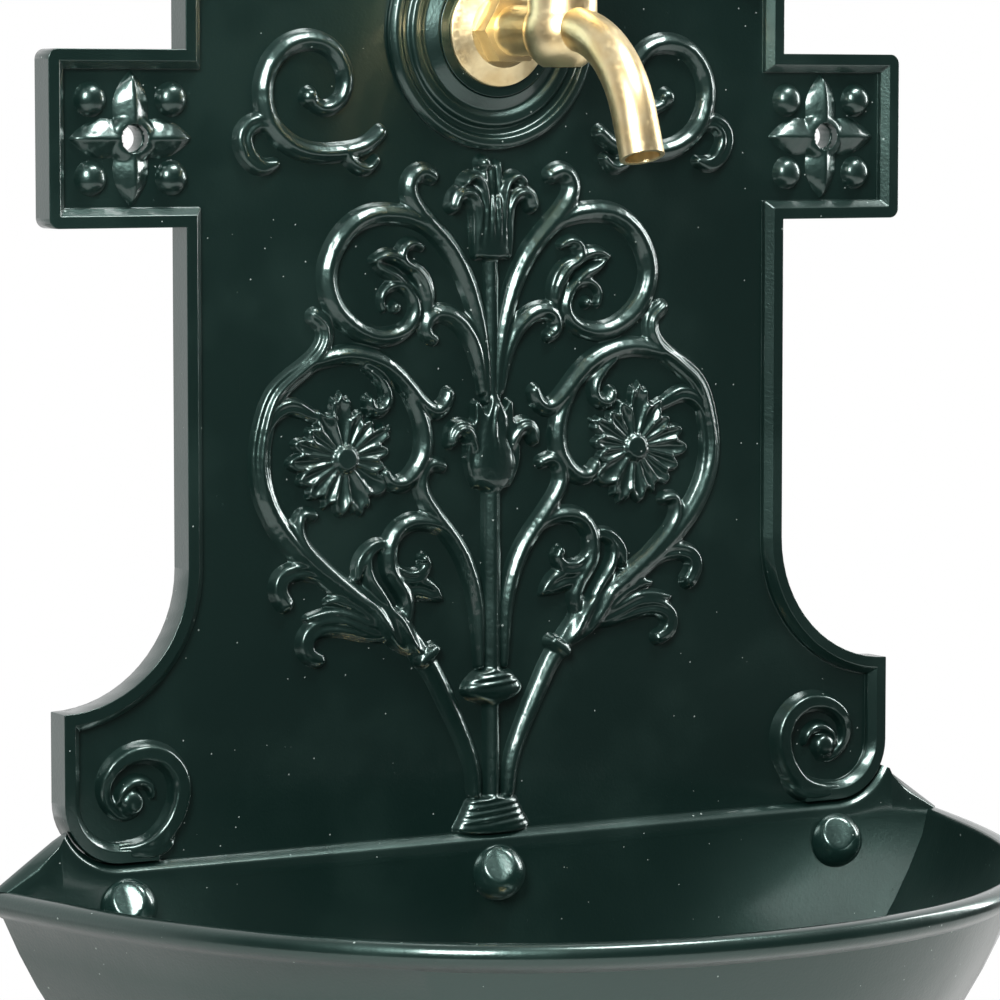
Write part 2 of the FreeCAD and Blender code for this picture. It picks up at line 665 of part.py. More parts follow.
def basin_plan(half_width, reach, height, back):
    """A D-shaped level of the basin: straight back, splayed sides and a bowed front."""
    points = [
        V(half_width, back, height),
        V(half_width * 0.935, back - reach * 0.25, height),
        V(half_width * 0.80, back - reach * 0.56, height),
        V(half_width * 0.50, back - reach * 0.87, height),
        V(0, back - reach, height),
    ]
    points = points + [V(-point.x, point.y, point.z) for point in reversed(points[:-1])]
    front = Part.BSplineCurve()
    front.interpolate(points)
    return Part.Wire([front.toShape(), Part.makeLine(points[-1], points[0])])


def bowl_levels(inset, back):
    """Half width, reach and height of the bowl from under its rim to its floor."""
    flare = math.radians(size("bowl_flare"))
    top_width = size("basin_half_width - rim_lip")
    top_reach = size("basin_reach - rim_lip")
    levels = []
    for step in range(6):
        lean = flare + (math.pi / 2 - flare) * step / 5
        share = (math.cos(flare) - math.cos(lean)) / math.cos(flare)
        drop = (math.sin(lean) - math.sin(flare)) / (1 - math.sin(flare))
        width = top_width + (size("bowl_floor_half_width") - top_width) * share - inset
        reach = top_reach + (size("bowl_floor_reach") - top_reach) * share - inset
        height = size("rim_height - rim_thickness") - drop * (size("bowl_depth") - inset)
        levels.append((width, reach + back - PANEL_FACE, height))
    return levels


FLOOR_TOP = size("rim_height - rim_thickness - bowl_depth + basin_wall")
FLOOR_UNDERSIDE = FLOOR_TOP - size("basin_wall")


def make_basin():
    """A cast bowl with a rolled rim and a flat back wall that rises to meet the plate."""
    rim = size("rim_height")
    lip = size("rim_lip")
    thick = size("rim_thickness")
    soft = size("rim_rounding")
    wide = size("basin_half_width")
    deep = size("basin_reach")
    top_levels = [
        (wide - soft, deep - soft, rim),
        (wide, deep, rim - thick * 0.25),
        (wide, deep, rim - thick * 0.6),
        (wide - lip, deep - lip, rim - thick),
    ]
    roll = Part.makeLoft([basin_plan(*level, PANEL_FACE) for level in top_levels], True, True, False)
    outer_levels = bowl_levels(0, PANEL_FACE)
    bowl = Part.makeLoft([basin_plan(*level, PANEL_FACE) for level in outer_levels], True, False, False)
    outside = roll.fuse(bowl)
    waste = V(0, BASIN_FACE - size("waste_distance"), 0)
    seat = size("waste_seat")
    seat_place = waste + V(0, 0, FLOOR_UNDERSIDE - seat + 1)
    boss = Part.makeCylinder(size("waste_flange + waste_seat_margin"), seat, seat_place, V(0, 0, 1))
    inset = size("basin_wall")
    inner_levels = bowl_levels(inset, BASIN_FACE)
    top_width, top_reach, top_height = inner_levels[0]
    inner_levels.insert(0, (top_width + soft * 1.5, top_reach + soft, rim + 1))
    inner_plans = [basin_plan(*level, BASIN_FACE) for level in inner_levels]
    mouth = Part.makeLoft(inner_plans[:2], True, True, False)
    cavity = Part.makeLoft(inner_plans[1:], True, False, False)
    shell = outside.fuse(boss).cut(mouth).cut(cavity)
    upstand = make_upstand()
    below = waste + V(0, 0, FLOOR_UNDERSIDE - seat * 2)
    drain = Part.makeCylinder(size("waste_radius + tail_clearance"), seat * 4, below, V(0, 0, 1))
    shell = shell.fuse(upstand).cut(drain)
    for across, up in BOLT_PLACES:
        hole = Part.makeCylinder(size("bolt_hole"), -BASIN_FACE * 2, V(size(across), 0, size(up)), V(0, -1, 0))
        shell = shell.cut(hole)
    finished("basin", shell.removeSplitter())


def make_upstand():
    """The part of the basin's back wall that stands above its rim and frames the plate's foot."""
    corner = size("block_corner")
    gap = size("joint_gap")
    centre = V(size("block_half_width") - corner, size("block_bottom") + corner, 0)
    reach = corner + gap
    angle = size("horn_angle")
    horn = centre + V(math.cos(math.radians(angle)), math.sin(math.radians(angle)), 0) * reach
    tip = horn + V(size("horn_width"), -size("horn_drop"), 0)
    shoulder = V(size("basin_half_width - rim_rounding"), size("rim_height"), 0)
    low = V(shoulder.x, size("rim_height - upstand_overlap"), 0)
    half = [
        Part.LineSegment(V(0, centre.y - reach, 0), V(centre.x, centre.y - reach, 0)),
        arc_about(centre, reach, -90, angle),
        Part.LineSegment(horn, tip),
        Part.LineSegment(tip, shoulder),
        Part.LineSegment(shoulder, low),
        Part.LineSegment(low, V(0, low.y, 0)),
    ]
    wire = Part.Wire(Part.sortEdges([edge.toShape() for edge in both_halves(half)])[0])
    wire.rotate(V(), V(1, 0, 0), 90)
    wire.translate(V(0, PANEL_FACE, 0))
    return Part.Face(wire).extrude(V(0, -size("basin_back_wall"), 0))


# Fastenings of the basin

def make_basin_bolts():
    """Cup-headed bolts: heads in the plate's hollow, shanks out to the front."""
    body = new_body("basin_bolts", V(-size("bolt_spacing"), PANEL_BACK, size("bolt_height")), TOWARDS_FRONT)
    bolt = turn(body, "bolt", [
        ("0", "-bolt_head_height"),
        ("bolt_head * 0.6", "-bolt_head_height"),
        ("bolt_head", "-bolt_head_height * 0.4"),
        ("bolt_head", "0"),
        ("bolt_radius", "0"),
        ("bolt_radius", "panel_wall + basin_back_wall + nut_height * 0.6"),
        ("0", "panel_wall + basin_back_wall + nut_height * 0.6"),
    ])
    row_of(body, bolt, "row", "X_Axis", "bolt_spacing * 2", 3)


def make_domed_nuts():
    """Acorn-shaped nuts on the front of the basin's back wall."""
    body = new_body("domed_nuts", V(-size("bolt_spacing"), BASIN_FACE, size("bolt_height")), TOWARDS_FRONT)
    nut = turn(body, "nut", [
        ("bolt_radius", "0"),
        ("nut_radius", "0"),
        ("nut_radius", "nut_height * 0.22"),
        ("nut_radius * 0.93", "nut_height * 0.45"),
        ("nut_radius * 0.75", "nut_height * 0.7"),
        ("nut_radius * 0.45", "nut_height * 0.9"),
        ("0", "nut_height"),
        ("0", "nut_height * 0.7"),
        ("bolt_radius", "nut_height * 0.7"),
    ])
    row_of(body, nut, "row", "X_Axis", "bolt_spacing * 2", 3)


# Tap

def make_tap_flange():
    """The escutcheon between the tap's shoulder and the plate."""
    body = new_body("tap_flange", V(0, TAP_LAND, TAP_Z), TOWARDS_FRONT)
    turn(body, "profile", [
        ("tail_radius + tail_clearance", "seal_thickness"),
        ("seal_radius + tail_clearance", "seal_thickness"),
        ("seal_radius + tail_clearance", "0"),
        ("flange_radius", "0"),
        ("flange_radius", "flange_thickness * 0.3"),
        ("flange_radius * 0.86", "flange_thickness * 0.55"),
        ("flange_radius * 0.66", "flange_thickness"),
        ("tail_radius + tail_clearance", "flange_thickness"),
    ])


def make_tap_seal():
    body = new_body("tap_seal", V(0, TAP_LAND, TAP_Z), TOWARDS_FRONT)
    turn(body, "profile", [
        ("tail_radius + tail_clearance", "0"),
        ("seal_radius", "0"),
        ("seal_radius", "seal_thickness"),
        ("tail_radius + tail_clearance", "seal_thickness"),
    ])


def make_tap_lock_nut():
    place = V(0, -size("tap_pocket_floor"), TAP_Z)
    body = new_body("tap_lock_nut", place, TOWARDS_WALL)
    pad(body, polygon_sketch(body, "hexagon", "lock_nut_flats"), "lock_nut_thickness")
    hole = circle_sketch(body, "thread", "tail_radius")
    pocket(body, hole, "lock_nut_thickness", forwards=True)


def spout_line(start_share=0.0):
    """The spout's centre line: an arc out of the chamber, then the straight nose."""
    bend = size("spout_bend")
    turn_angle = math.pi / 2 - SPOUT_LEAN
    rise = size("tap_height - spout_end_height")
    nose = (rise - bend * (1 - math.cos(turn_angle))) / math.cos(SPOUT_LEAN)
    start_y = -size("spout_front") + nose * math.sin(SPOUT_LEAN) + bend * math.sin(turn_angle)
    centre = V(0, start_y, TAP_Z - bend)

    def on_arc(share):
        angle = turn_angle * share
        return centre + V(0, -math.sin(angle), math.cos(angle)) * bend

    corner = on_arc(1.0)
    end = corner + V(0, -math.sin(SPOUT_LEAN), -math.cos(SPOUT_LEAN)) * nose
    arc = Part.Arc(on_arc(start_share), on_arc((1 + start_share) / 2), corner).toShape()
    return Part.Wire([arc, Part.makeLine(corner, end)]), on_arc(start_share), turn_angle * start_share


def tube_along(start_share, radius):
    path, start, angle = spout_line(start_share)
    way = V(0, -math.cos(angle), -math.sin(angle))
    ring = Part.Wire([Part.makeCircle(radius, start, way)])
    return path.makePipeShell([ring], True, False)


def make_tap_body():
    """The cast body: threaded tail, hexagon, seat chamber and curved spout."""
    bore = size("water_bore")
    chamber = V(0, CHAMBER_Y, 0)
    shoulder = TAP_LAND - size("flange_thickness")
    tail = Part.makeCylinder(size("tail_radius"), size("tail_reach") - shoulder, V(0, shoulder, TAP_Z), V(0, 1, 0))
    nut_end = V(0, size("lock_nut_thickness - tap_pocket_floor"), TAP_Z)
    groove = Part.makeCylinder(size("tail_radius + undercut"), 1, nut_end, V(0, 1, 0))
    groove = groove.cut(Part.makeCylinder(size("tail_radius - undercut"), 1, nut_end, V(0, 1, 0)))
    tail = tail.cut(groove)
    hexagon = six_sided(size("tap_hexagon"), size("shoulder_hexagon"), V(0, shoulder, TAP_Z))
    barrel = Part.makeCylinder(size("barrel_radius"), shoulder - CHAMBER_Y, V(0, shoulder, TAP_Z), V(0, -1, 0))
    globe = Part.makeSphere(size("chamber_radius"), chamber + V(0, 0, TAP_Z - 1))
    neck = Part.makeCylinder(
        size("chamber_radius") - 2, size("chamber_top - tap_height"), chamber + V(0, 0, TAP_Z), V(0, 0, 1)
    )
    spout = tube_along(0.0, size("spout_radius"))
    solid = tail.multiFuse([hexagon, barrel, globe, neck, spout])
    seat = size("seat_height")
    web = size("seat_web")
    passage = size("passage")
    wide = size("chamber_radius") * 2
    well = chamber + V(0, 0, seat - web - size("chamber_bore") + passage)
    upper = Part.makeCylinder(size("chamber_bore"), wide * 2, chamber + V(0, 0, seat), V(0, 0, 1))
    lower = Part.makeSphere(size("chamber_bore") - 2, well)
    lower = lower.common(Part.makeBox(wide, wide, wide, chamber + V(-wide / 2, -wide / 2, seat - web - wide)))
    orifice = Part.makeCylinder(size("seat_orifice"), web + 6, chamber + V(0, 0, seat - web - 3), V(0, 0, 1))
    inlet_end = CHAMBER_Y + size("chamber_radius") + passage
    inlet = Part.makeCylinder(bore, size("tail_reach") - inlet_end, V(0, inlet_end, TAP_Z), V(0, 1, 0))
    dip = passage_between(V(0, inlet_end + 3, TAP_Z), well + V(0, 3, 0))
    outlet = tube_along(0.3, size("spout_radius - spout_wall"))
    climb = passage_between(chamber + V(0, -2, seat + 5), spout_line(0.34)[1])
    finished("tap_body", solid.cut(upper.multiFuse([lower, orifice, inlet, dip, outlet, climb])))


def passage_between(start, end):
    """A drilled water way from one place to another."""
    way = end - start
    return Part.makeCylinder(size("passage"), way.Length, start, way)


def six_sided(flats, length, place):
    """A hexagonal prism that runs forward from a place on the tap's axis."""
    reach = flats / 2 / math.cos(math.pi / 6)
    corners = []
    for corner in range(7):
        angle = math.pi / 3 * corner
        corners.append(place + V(reach * math.cos(angle), 0, reach * math.sin(angle)))
    return Part.Face(Part.makePolygon(corners)).extrude(V(0, -length, 0))


def make_bonnet_seal():
    body = new_body("bonnet_seal", V(0, CHAMBER_Y, size("chamber_top")))
    turn(body, "profile", [
        ("chamber_bore", "0"),
        ("chamber_radius - 2", "0"),
        ("chamber_radius - 2", "bonnet_seal"),
        ("chamber_bore", "bonnet_seal"),
    ])


# Heights in the headwork, counted from the tap chamber's top
COLLAR_LOW = "bonnet_seal + bonnet_hexagon_height + 2"
STEM_LOW = "seat_height + washer_thickness + carrier_floor + carrier_lift + 0.5 - chamber_top"
HANDLE_BASE = "bonnet_top + gland_height + 1"


def make_bonnet():
    """The headwork's shell: a thread plug, a hexagon and a neck, with a square guide inside."""
    body = new_body("bonnet", V(0, CHAMBER_Y, size("chamber_top")))
    turn(body, "profile", [
        ("0", "-9"),
        ("chamber_bore", "-9"),
        ("chamber_bore", "bonnet_seal"),
        ("bonnet_neck", "bonnet_seal"),
        ("bonnet_neck", "bonnet_top - chamber_top"),
        ("0", "bonnet_top - chamber_top"),
    ])
    hexagon = polygon_sketch(body, "hexagon", "bonnet_hexagon", shift="bonnet_seal")
    pad(body, hexagon, "bonnet_hexagon_height")
    guide = polygon_sketch(body, "guide", "carrier_flats + running_gap * 2", 4, "-9", math.pi / 4)
    pocket(body, guide, COLLAR_LOW + " - 2 + 9", forwards=True)
    stem = circle_sketch(body, "stem", "screw_radius + running_gap", shift="-9")
    pocket(body, stem, "60", forwards=True)
    box = circle_sketch(body, "box", "packing_radius", shift=COLLAR_LOW)
    pocket(body, box, "60", forwards=True)


def make_spindle():
    """Turned stem: square top, collar under the packing, and the screw that lifts the carrier."""
    body = new_body("spindle", V(0, CHAMBER_Y, size("chamber_top")))
    turn(body, "profile", [
        ("0", STEM_LOW),
        ("screw_radius", STEM_LOW),
        ("screw_radius", COLLAR_LOW),
        ("collar_radius", COLLAR_LOW),
        ("collar_radius", COLLAR_LOW + " + collar_thickness"),
        ("stem_radius", COLLAR_LOW + " + collar_thickness"),
        ("stem_radius", HANDLE_BASE + " - chamber_top"),
        ("0", HANDLE_BASE + " - chamber_top"),
    ])
    square = polygon_sketch(body, "square", "stem_square", 4, HANDLE_BASE + " - chamber_top", math.pi / 4)
    pad(body, square, "stem_top - (" + HANDLE_BASE + ")")
    tapped = circle_sketch(body, "tapped", "screw_shank", shift="stem_top - chamber_top")
    pocket(body, tapped, "screw_length + 1")


def make_gland_packing():
    body = new_body("gland_packing", V(0, CHAMBER_Y, size("chamber_top")))
    low = COLLAR_LOW + " + collar_thickness + running_gap"
    turn(body, "profile", [
        ("stem_radius + running_gap", low),
        ("packing_radius", low),
        ("packing_radius", low + " + packing_height"),
        ("stem_radius + running_gap", low + " + packing_height"),
    ])


def make_gland_nut():
    body = new_body("gland_nut", V(0, CHAMBER_Y, size("chamber_top")))
    low = COLLAR_LOW + " + collar_thickness + running_gap + packing_height"
    turn(body, "profile", [
        ("stem_radius + running_gap", low),
        ("packing_radius", low),
        ("packing_radius", "bonnet_top - chamber_top"),
        ("gland_flats / 2", "bonnet_top - chamber_top"),
        ("gland_flats / 2", "bonnet_top - chamber_top + gland_height"),
        ("stem_radius + running_gap", "bonnet_top - chamber_top + gland_height"),
    ])


def make_valve_carrier():
    """The square carrier that climbs the screw, with the stalk that holds the washer."""
    body = new_body("valve_carrier", V(0, CHAMBER_Y, size("seat_height + washer_thickness")))
    pad(body, polygon_sketch(body, "square", "carrier_flats", 4, turn=math.pi / 4), "carrier_height")
    stalk = circle_sketch(body, "stalk", "washer_bore")
    pad(body, stalk, "washer_thickness + 2", backwards=True)
    thread = circle_sketch(body, "thread", "screw_radius + running_gap", shift="carrier_height")
    pocket(body, thread, "carrier_height - carrier_floor")


def make_tap_washer():
    body = new_body("tap_washer", V(0, CHAMBER_Y, size("seat_height")))
    turn(body, "profile", [
        ("washer_bore", "0"),
        ("washer_radius", "0"),
        ("washer_radius", "washer_thickness"),
        ("washer_bore", "washer_thickness"),
    ])


def make_washer_nut():
    body = new_body("washer_nut", V(0, CHAMBER_Y, size("seat_height")))
    turn(body, "profile", [
        ("washer_bore", "-2"),
        ("washer_bore * 1.8", "-2"),
        ("washer_bore * 1.8", "0"),
        ("washer_bore", "0"),
    ])


def make_tap_handle():
    """A cross handle: a turned hub and four arms that end in knobs."""
    place = V(0, CHAMBER_Y, size(HANDLE_BASE))
    tall = size("handle_height")
    hub_radius = size("handle_hub")
    profile = [
        (0, 0),
        (hub_radius * 0.8, 0),
        (hub_radius, size("hub_foot")),
        (hub_radius, tall - size("hub_shoulder")),
        (hub_radius * 0.75, tall),
        (0, tall),
    ]
    outline = [V(radius, 0, up) for radius, up in profile]
    hub = Part.Face(Part.makePolygon(outline + outline[:1])).revolve(V(), V(0, 0, 1), 360)
    solids = []
    reach = size("handle_reach")
    knob = size("handle_knob")
    middle = tall * 0.48
    for arm in range(4):
        way = FreeCAD.Rotation(V(0, 0, 1), 45 + 90 * arm).multVec(V(1, 0, 0))
        root_radius = size("handle_arm") + 1
        end_radius = size("handle_arm - arm_taper")
        solids.append(Part.makeCone(root_radius, end_radius, reach - knob, V(0, 0, middle), way))
        solids.append(Part.makeSphere(knob, way * (reach - knob) + V(0, 0, middle)))
    handle = hub.multiFuse(solids)
    top = size("stem_top") - size(HANDLE_BASE)
    square = size("stem_square")
    handle = handle.cut(Part.makeBox(square, square, top, V(-square / 2, -square / 2, 0)))
    handle = handle.cut(Part.makeCylinder(size("screw_shank"), tall * 2, V(), V(0, 0, 1)))
    handle.translate(place)
    finished("tap_handle", handle)


def make_handle_screw():
    body = new_body("handle_screw", V(0, CHAMBER_Y, size(HANDLE_BASE + " + handle_height")))
    turn(body, "profile", [
        ("0", "-screw_length - 1"),
        ("screw_shank", "-screw_length - 1"),
        ("screw_shank", "0"),
        ("screw_head", "0"),
        ("screw_head", "screw_head_height * 0.4"),
        ("screw_head * 0.6", "screw_head_height"),
        ("0", "screw_head_height"),
    ])


# Basin waste

WASTE_PLACE = V(0, BASIN_FACE - size("waste_distance"), FLOOR_TOP)
BOSS_UNDERSIDE = "1 - basin_wall - waste_seat"
WASTE_NUT_LOW = BOSS_UNDERSIDE + " - waste_gasket - waste_nut_thickness"


def make_waste_body():
    body = new_body("waste_body", WASTE_PLACE)
    turn(body, "profile", [
        ("waste_bore", "waste_gasket + waste_flange_thickness - waste_length"),
        ("waste_radius", "waste_gasket + waste_flange_thickness - waste_length"),
        ("waste_radius", WASTE_NUT_LOW + " - 1"),
        ("waste_radius - undercut", WASTE_NUT_LOW + " - 1"),
        ("waste_radius - undercut", WASTE_NUT_LOW),
        ("waste_radius", WASTE_NUT_LOW),
        ("waste_radius", "waste_gasket"),
        ("waste_flange", "waste_gasket"),
        ("waste_flange", "waste_gasket + waste_flange_thickness * 0.5"),
        ("waste_flange - 1.5", "waste_gasket + waste_flange_thickness"),
        ("waste_bore + plug_taper", "waste_gasket + waste_flange_thickness"),
        ("waste_bore", "waste_gasket + waste_flange_thickness + 1 - plug_height"),
    ])


def make_waste_gasket(label, low):
    body = new_body(label, WASTE_PLACE + V(0, 0, size(low)))
    turn(body, "profile", [
        ("waste_radius", "0"),
        ("waste_gasket_radius", "0"),
        ("waste_gasket_radius", "waste_gasket"),
        ("waste_radius", "waste_gasket"),
    ])


def make_waste_nut():
    body = new_body("waste_nut", WASTE_PLACE + V(0, 0, size(WASTE_NUT_LOW)))
    pad(body, polygon_sketch(body, "hexagon", "waste_nut_flats"), "waste_nut_thickness")
    pocket(body, circle_sketch(body, "thread", "waste_radius"), "waste_nut_thickness", forwards=True)


def make_basin_plug():
    """A tapered stopper with a stalk and knob to lift it by."""
    body = new_body("basin_plug", WASTE_PLACE + V(0, 0, size("waste_gasket + waste_flange_thickness")))
    turn(body, "profile", [
        ("0", "-plug_height"),
        ("waste_bore - plug_gap", "-plug_height"),
        ("waste_bore - plug_gap", "1 - plug_height"),
        ("waste_bore + plug_taper - plug_gap", "0"),
        ("plug_lip", "0"),
        ("plug_lip", "plug_lip_thickness * 0.6"),
        ("plug_lip - 1", "plug_lip_thickness"),
        ("plug_stalk", "plug_lip_thickness"),
        ("plug_stalk", "plug_stalk_height"),
        ("plug_knob * 0.7", "plug_stalk_height"),
        ("plug_knob", "plug_stalk_height + 3"),
        ("plug_knob * 0.6", "plug_stalk_height + 6"),
        ("0", "plug_stalk_height + 7"),
    ])


make_back_plate()
make_scrollwork()
make_centre_stem()
make_rosettes()
make_corner_volutes()
make_tap_ring()
make_tap_scrolls()
make_pediment_shell()
make_star_bosses()
make_ear_beads()
make_basin()
make_basin_bolts()
make_domed_nuts()
make_tap_flange()
make_tap_seal()
make_tap_lock_nut()
make_tap_body()
make_bonnet_seal()
make_bonnet()
make_spindle()
make_gland_packing()
make_gland_nut()
make_valve_carrier()
make_tap_washer()
make_washer_nut()
make_tap_handle()
make_handle_screw()
make_waste_body()
make_waste_gasket("waste_upper_gasket", "0")
make_waste_gasket("waste_lower_gasket", BOSS_UNDERSIDE + " - waste_gasket")
make_waste_nut()
make_basin_plug()

doc.recompute()

# Checks, then one file for each sub-part
for item in doc.Objects:
    if "Invalid" in item.State or "Error" in item.State:
        raise RuntimeError(f"{item.Label} failed: {item.State}")

PARTS = [item for item in doc.Objects if item.isDerivedFrom("PartDesign::Body") or item.TypeId == "Part::Feature"]
for part in PARTS:
    if part.Shape.isNull() or not part.Shape.isValid() or not part.Shape.Solids:
        raise RuntimeError(f"{part.Label} has no valid solid")
    part.Shape.exportStep(f"parts/{part.Label}.step")
    print(part.Label, len(part.Shape.Solids), round(part.Shape.Volume))
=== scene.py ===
import json
import math

import bmesh
import bpy
import numpy as np
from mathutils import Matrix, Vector


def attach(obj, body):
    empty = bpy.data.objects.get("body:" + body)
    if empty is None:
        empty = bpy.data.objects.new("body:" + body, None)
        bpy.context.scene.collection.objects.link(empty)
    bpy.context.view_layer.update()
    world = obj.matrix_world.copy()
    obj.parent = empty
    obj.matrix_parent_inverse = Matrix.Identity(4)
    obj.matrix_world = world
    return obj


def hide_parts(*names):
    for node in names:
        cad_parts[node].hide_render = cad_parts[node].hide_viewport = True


# A cast garden fountain that hangs on a wall: thick glossy dark green enamel over scroll relief,
# a brass bib tap and a half-round basin.
# Places are in millimetres until a mesh is made: X to the right, Z up, the front faces -Y.

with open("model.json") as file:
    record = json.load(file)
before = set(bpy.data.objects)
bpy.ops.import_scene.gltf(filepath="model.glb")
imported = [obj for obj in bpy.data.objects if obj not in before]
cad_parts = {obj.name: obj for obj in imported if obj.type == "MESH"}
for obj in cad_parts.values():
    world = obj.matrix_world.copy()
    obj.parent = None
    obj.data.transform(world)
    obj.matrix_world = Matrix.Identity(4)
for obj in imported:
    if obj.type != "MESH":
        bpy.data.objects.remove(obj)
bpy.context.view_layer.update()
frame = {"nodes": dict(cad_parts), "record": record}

MM = 0.001
PANEL_FACE = -8.0
# Heights over the panel: the usual relief, the empty grid, the lowest raised place, the underside
RELIEF = 4.6
SUNK = -0.8
RAISED_FROM = -0.3
UNDERSIDE = -0.9
GRID = 0.5
TAP_Z = 42.0
LAND_RADIUS = 26.1
RING_RADIUS = 47.0
HOLE_X = 158.3
HOLE_RADIUS = 5.2
ROSETTE = (67.0, -126.0)
CORNER_BALL = (160.4, -255.2)
# The windings of the turned forms: from one to the next, and rise per millimetre sideways
WINDING_PITCH = 2.6
WINDING_SLANT = 0.10


# Materials

def add_node(tree, kind, inputs=None, **settings):
    """A shader node with its settings, and its sockets set or linked."""
    node = tree.nodes.new(kind)
    for name, value in settings.items():
        setattr(node, name, value)
    for name, value in (inputs or {}).items():
        socket = node.inputs[name]
        if isinstance(value, bpy.types.NodeSocket):
            tree.links.new(value, socket)
        else:
            socket.default_value = value
    return node


def shader_group(name, inputs, outputs):
    """An empty node group with named inputs and outputs: its tree, its input node and its output node."""
    tree = bpy.data.node_groups.new(name, "ShaderNodeTree")
    for label, value in inputs.items():
        socket = tree.interface.new_socket(label, in_out="INPUT", socket_type="NodeSocketFloat")
        socket.default_value = value
    for label in outputs:
        tree.interface.new_socket(label, in_out="OUTPUT", socket_type="NodeSocketFloat")
    return tree, tree.nodes.new("NodeGroupInput"), tree.nodes.new("NodeGroupOutput")


def calculated(tree, operation, *values):
    return add_node(tree, "ShaderNodeMath", dict(enumerate(values)), operation=operation).outputs[0]


def remapped(tree, value, old, new=(0.0, 1.0), eased=False):
    """A value carried from one range over to another."""
    inputs = {"Value": value, "From Min": old[0], "From Max": old[1], "To Min": new[0], "To Max": new[1]}
    easing = "SMOOTHSTEP" if eased else "LINEAR"
    return add_node(tree, "ShaderNodeMapRange", inputs, interpolation_type=easing).outputs["Result"]


def object_place(tree):
    return add_node(tree, "ShaderNodeTexCoord").outputs["Object"]


def per_metre(tree, size):
    """The texture scale for a grain size in millimetres."""
    return calculated(tree, "DIVIDE", 1000.0, size)


def noise(tree, place, size, detail):
    inputs = {"Vector": place, "Scale": per_metre(tree, size), "Detail": detail}
    return add_node(tree, "ShaderNodeTexNoise", inputs).outputs["Fac"]


def spots(tree, place, scale):
    """Scattered cells: the distance from each one's middle, and values that differ from cell to cell."""
    cells = add_node(tree, "ShaderNodeTexVoronoi", {"Vector": place, "Scale": scale})
    chance = add_node(tree, "ShaderNodeSeparateColor", {"Color": cells.outputs["Color"]})
    return cells.outputs["Distance"], chance.outputs


def make_cast_skin():
    """A sand casting under paint: slow waves, fine orange peel and stray pimples, with pale flecks that are
    painted glints.
    """
    sizes = {"Wave Size": 9.0, "Peel Size": 1.2, "Pimple Spacing": 7.0}
    depths = {"Wave Depth": 1.0, "Peel Depth": 0.75, "Pimple Depth": 1.0}
    tree, given, out = shader_group("cast_skin", {**sizes, **depths}, ["Height", "Painted Glints"])
    place = object_place(tree)
    waves = noise(tree, place, given.outputs["Wave Size"], 1.0)
    peel = noise(tree, place, given.outputs["Peel Size"], 2.0)
    distance, chance = spots(tree, place, per_metre(tree, given.outputs["Pimple Spacing"]))
    round_top = remapped(tree, distance, (0.02, 0.07), (1.0, 0.0), eased=True)
    seldom = calculated(tree, "GREATER_THAN", chance["Red"], 0.62)
    pimples = calculated(tree, "MULTIPLY", round_top, seldom)
    height = calculated(tree, "MULTIPLY", waves, given.outputs["Wave Depth"])
    height = calculated(tree, "MULTIPLY_ADD", peel, given.outputs["Peel Depth"], height)
    height = calculated(tree, "MULTIPLY_ADD", pimples, given.outputs["Pimple Depth"], height)
    # Pale flecks: painted glints, small highlight specks put into the colour
    distance, chance = spots(tree, place, 190.0)
    glint_size = remapped(tree, chance["Green"], (0.0, 1.0), (0.03, 0.09))
    inside = calculated(tree, "LESS_THAN", distance, glint_size)
    rare = calculated(tree, "GREATER_THAN", chance["Blue"], 0.6)
    tree.links.new(height, out.inputs["Height"])
    tree.links.new(calculated(tree, "MULTIPLY", inside, rare), out.inputs["Painted Glints"])
    return tree


def make_handling():
    """Where hands, water and dust have dulled a finish: broad soft patches and fine specks."""
    sizes = {"Patch Size": 45.0, "Speck Size": 1.6}
    tree, given, out = shader_group("handling", sizes, ["Patches", "Specks"])
    place = object_place(tree)
    patches = noise(tree, place, given.outputs["Patch Size"], 3.0)
    specks = noise(tree, place, given.outputs["Speck Size"], 1.0)
    tree.links.new(remapped(tree, patches, (0.42, 0.68), eased=True), out.inputs["Patches"])
    tree.links.new(remapped(tree, specks, (0.66, 0.78), eased=True), out.inputs["Specks"])
    return tree


def make_turning_marks():
    """Fine lathe lines and scratches round turned metal."""
    sizes = {"Line Spacing": 0.35, "Scratch Size": 2.0}
    tree, given, out = shader_group("turning_marks", sizes, ["Height", "Scratches"])
    place = object_place(tree)
    lines = noise(tree, place, given.outputs["Line Spacing"], 1.0)
    stretch = add_node(tree, "ShaderNodeMapping", {"Vector": place, "Scale": (1.0, 0.12, 1.0)})
    scratches = noise(tree, stretch.outputs["Vector"], given.outputs["Scratch Size"], 3.0)
    tree.links.new(lines, out.inputs["Height"])
    tree.links.new(remapped(tree, scratches, (0.5, 0.75)), out.inputs["Scratches"])
    return tree


CAST_SKIN = make_cast_skin()
HANDLING = make_handling()
TURNING_MARKS = make_turning_marks()


def new_material(name, **constants):
    """A material with one Principled shader; the constants go straight onto its sockets."""
    material = bpy.data.materials.new(name)
    material.use_nodes = True
    tree = material.node_tree
    shader = tree.nodes["Principled BSDF"]
    for label, value in constants.items():
        shader.inputs[label.replace("_", " ")].default_value = value
    return material, tree, shader


def use_group(tree, group, **inputs):
    node = tree.nodes.new("ShaderNodeGroup")
    node.node_tree = group
    for label, value in inputs.items():
        node.inputs[label.replace("_", " ")].default_value = value
    return node


def mixed_colour(tree, mask, low, high):
    """One colour where the mask is 0 and the other where it is 1; each is a socket or three numbers."""
    node = add_node(tree, "ShaderNodeMix", {"Factor": mask}, data_type="RGBA")
    for label, colour in (("A", low), ("B", high)):
        if isinstance(colour, tuple):
            node.inputs[label].default_value = (*colour, 1.0)
        else:
            tree.links.new(colour, node.inputs[label])
    return node.outputs["Result"]


def spread(tree, mask, ends):
    return remapped(tree, mask, (0.0, 1.0), ends)


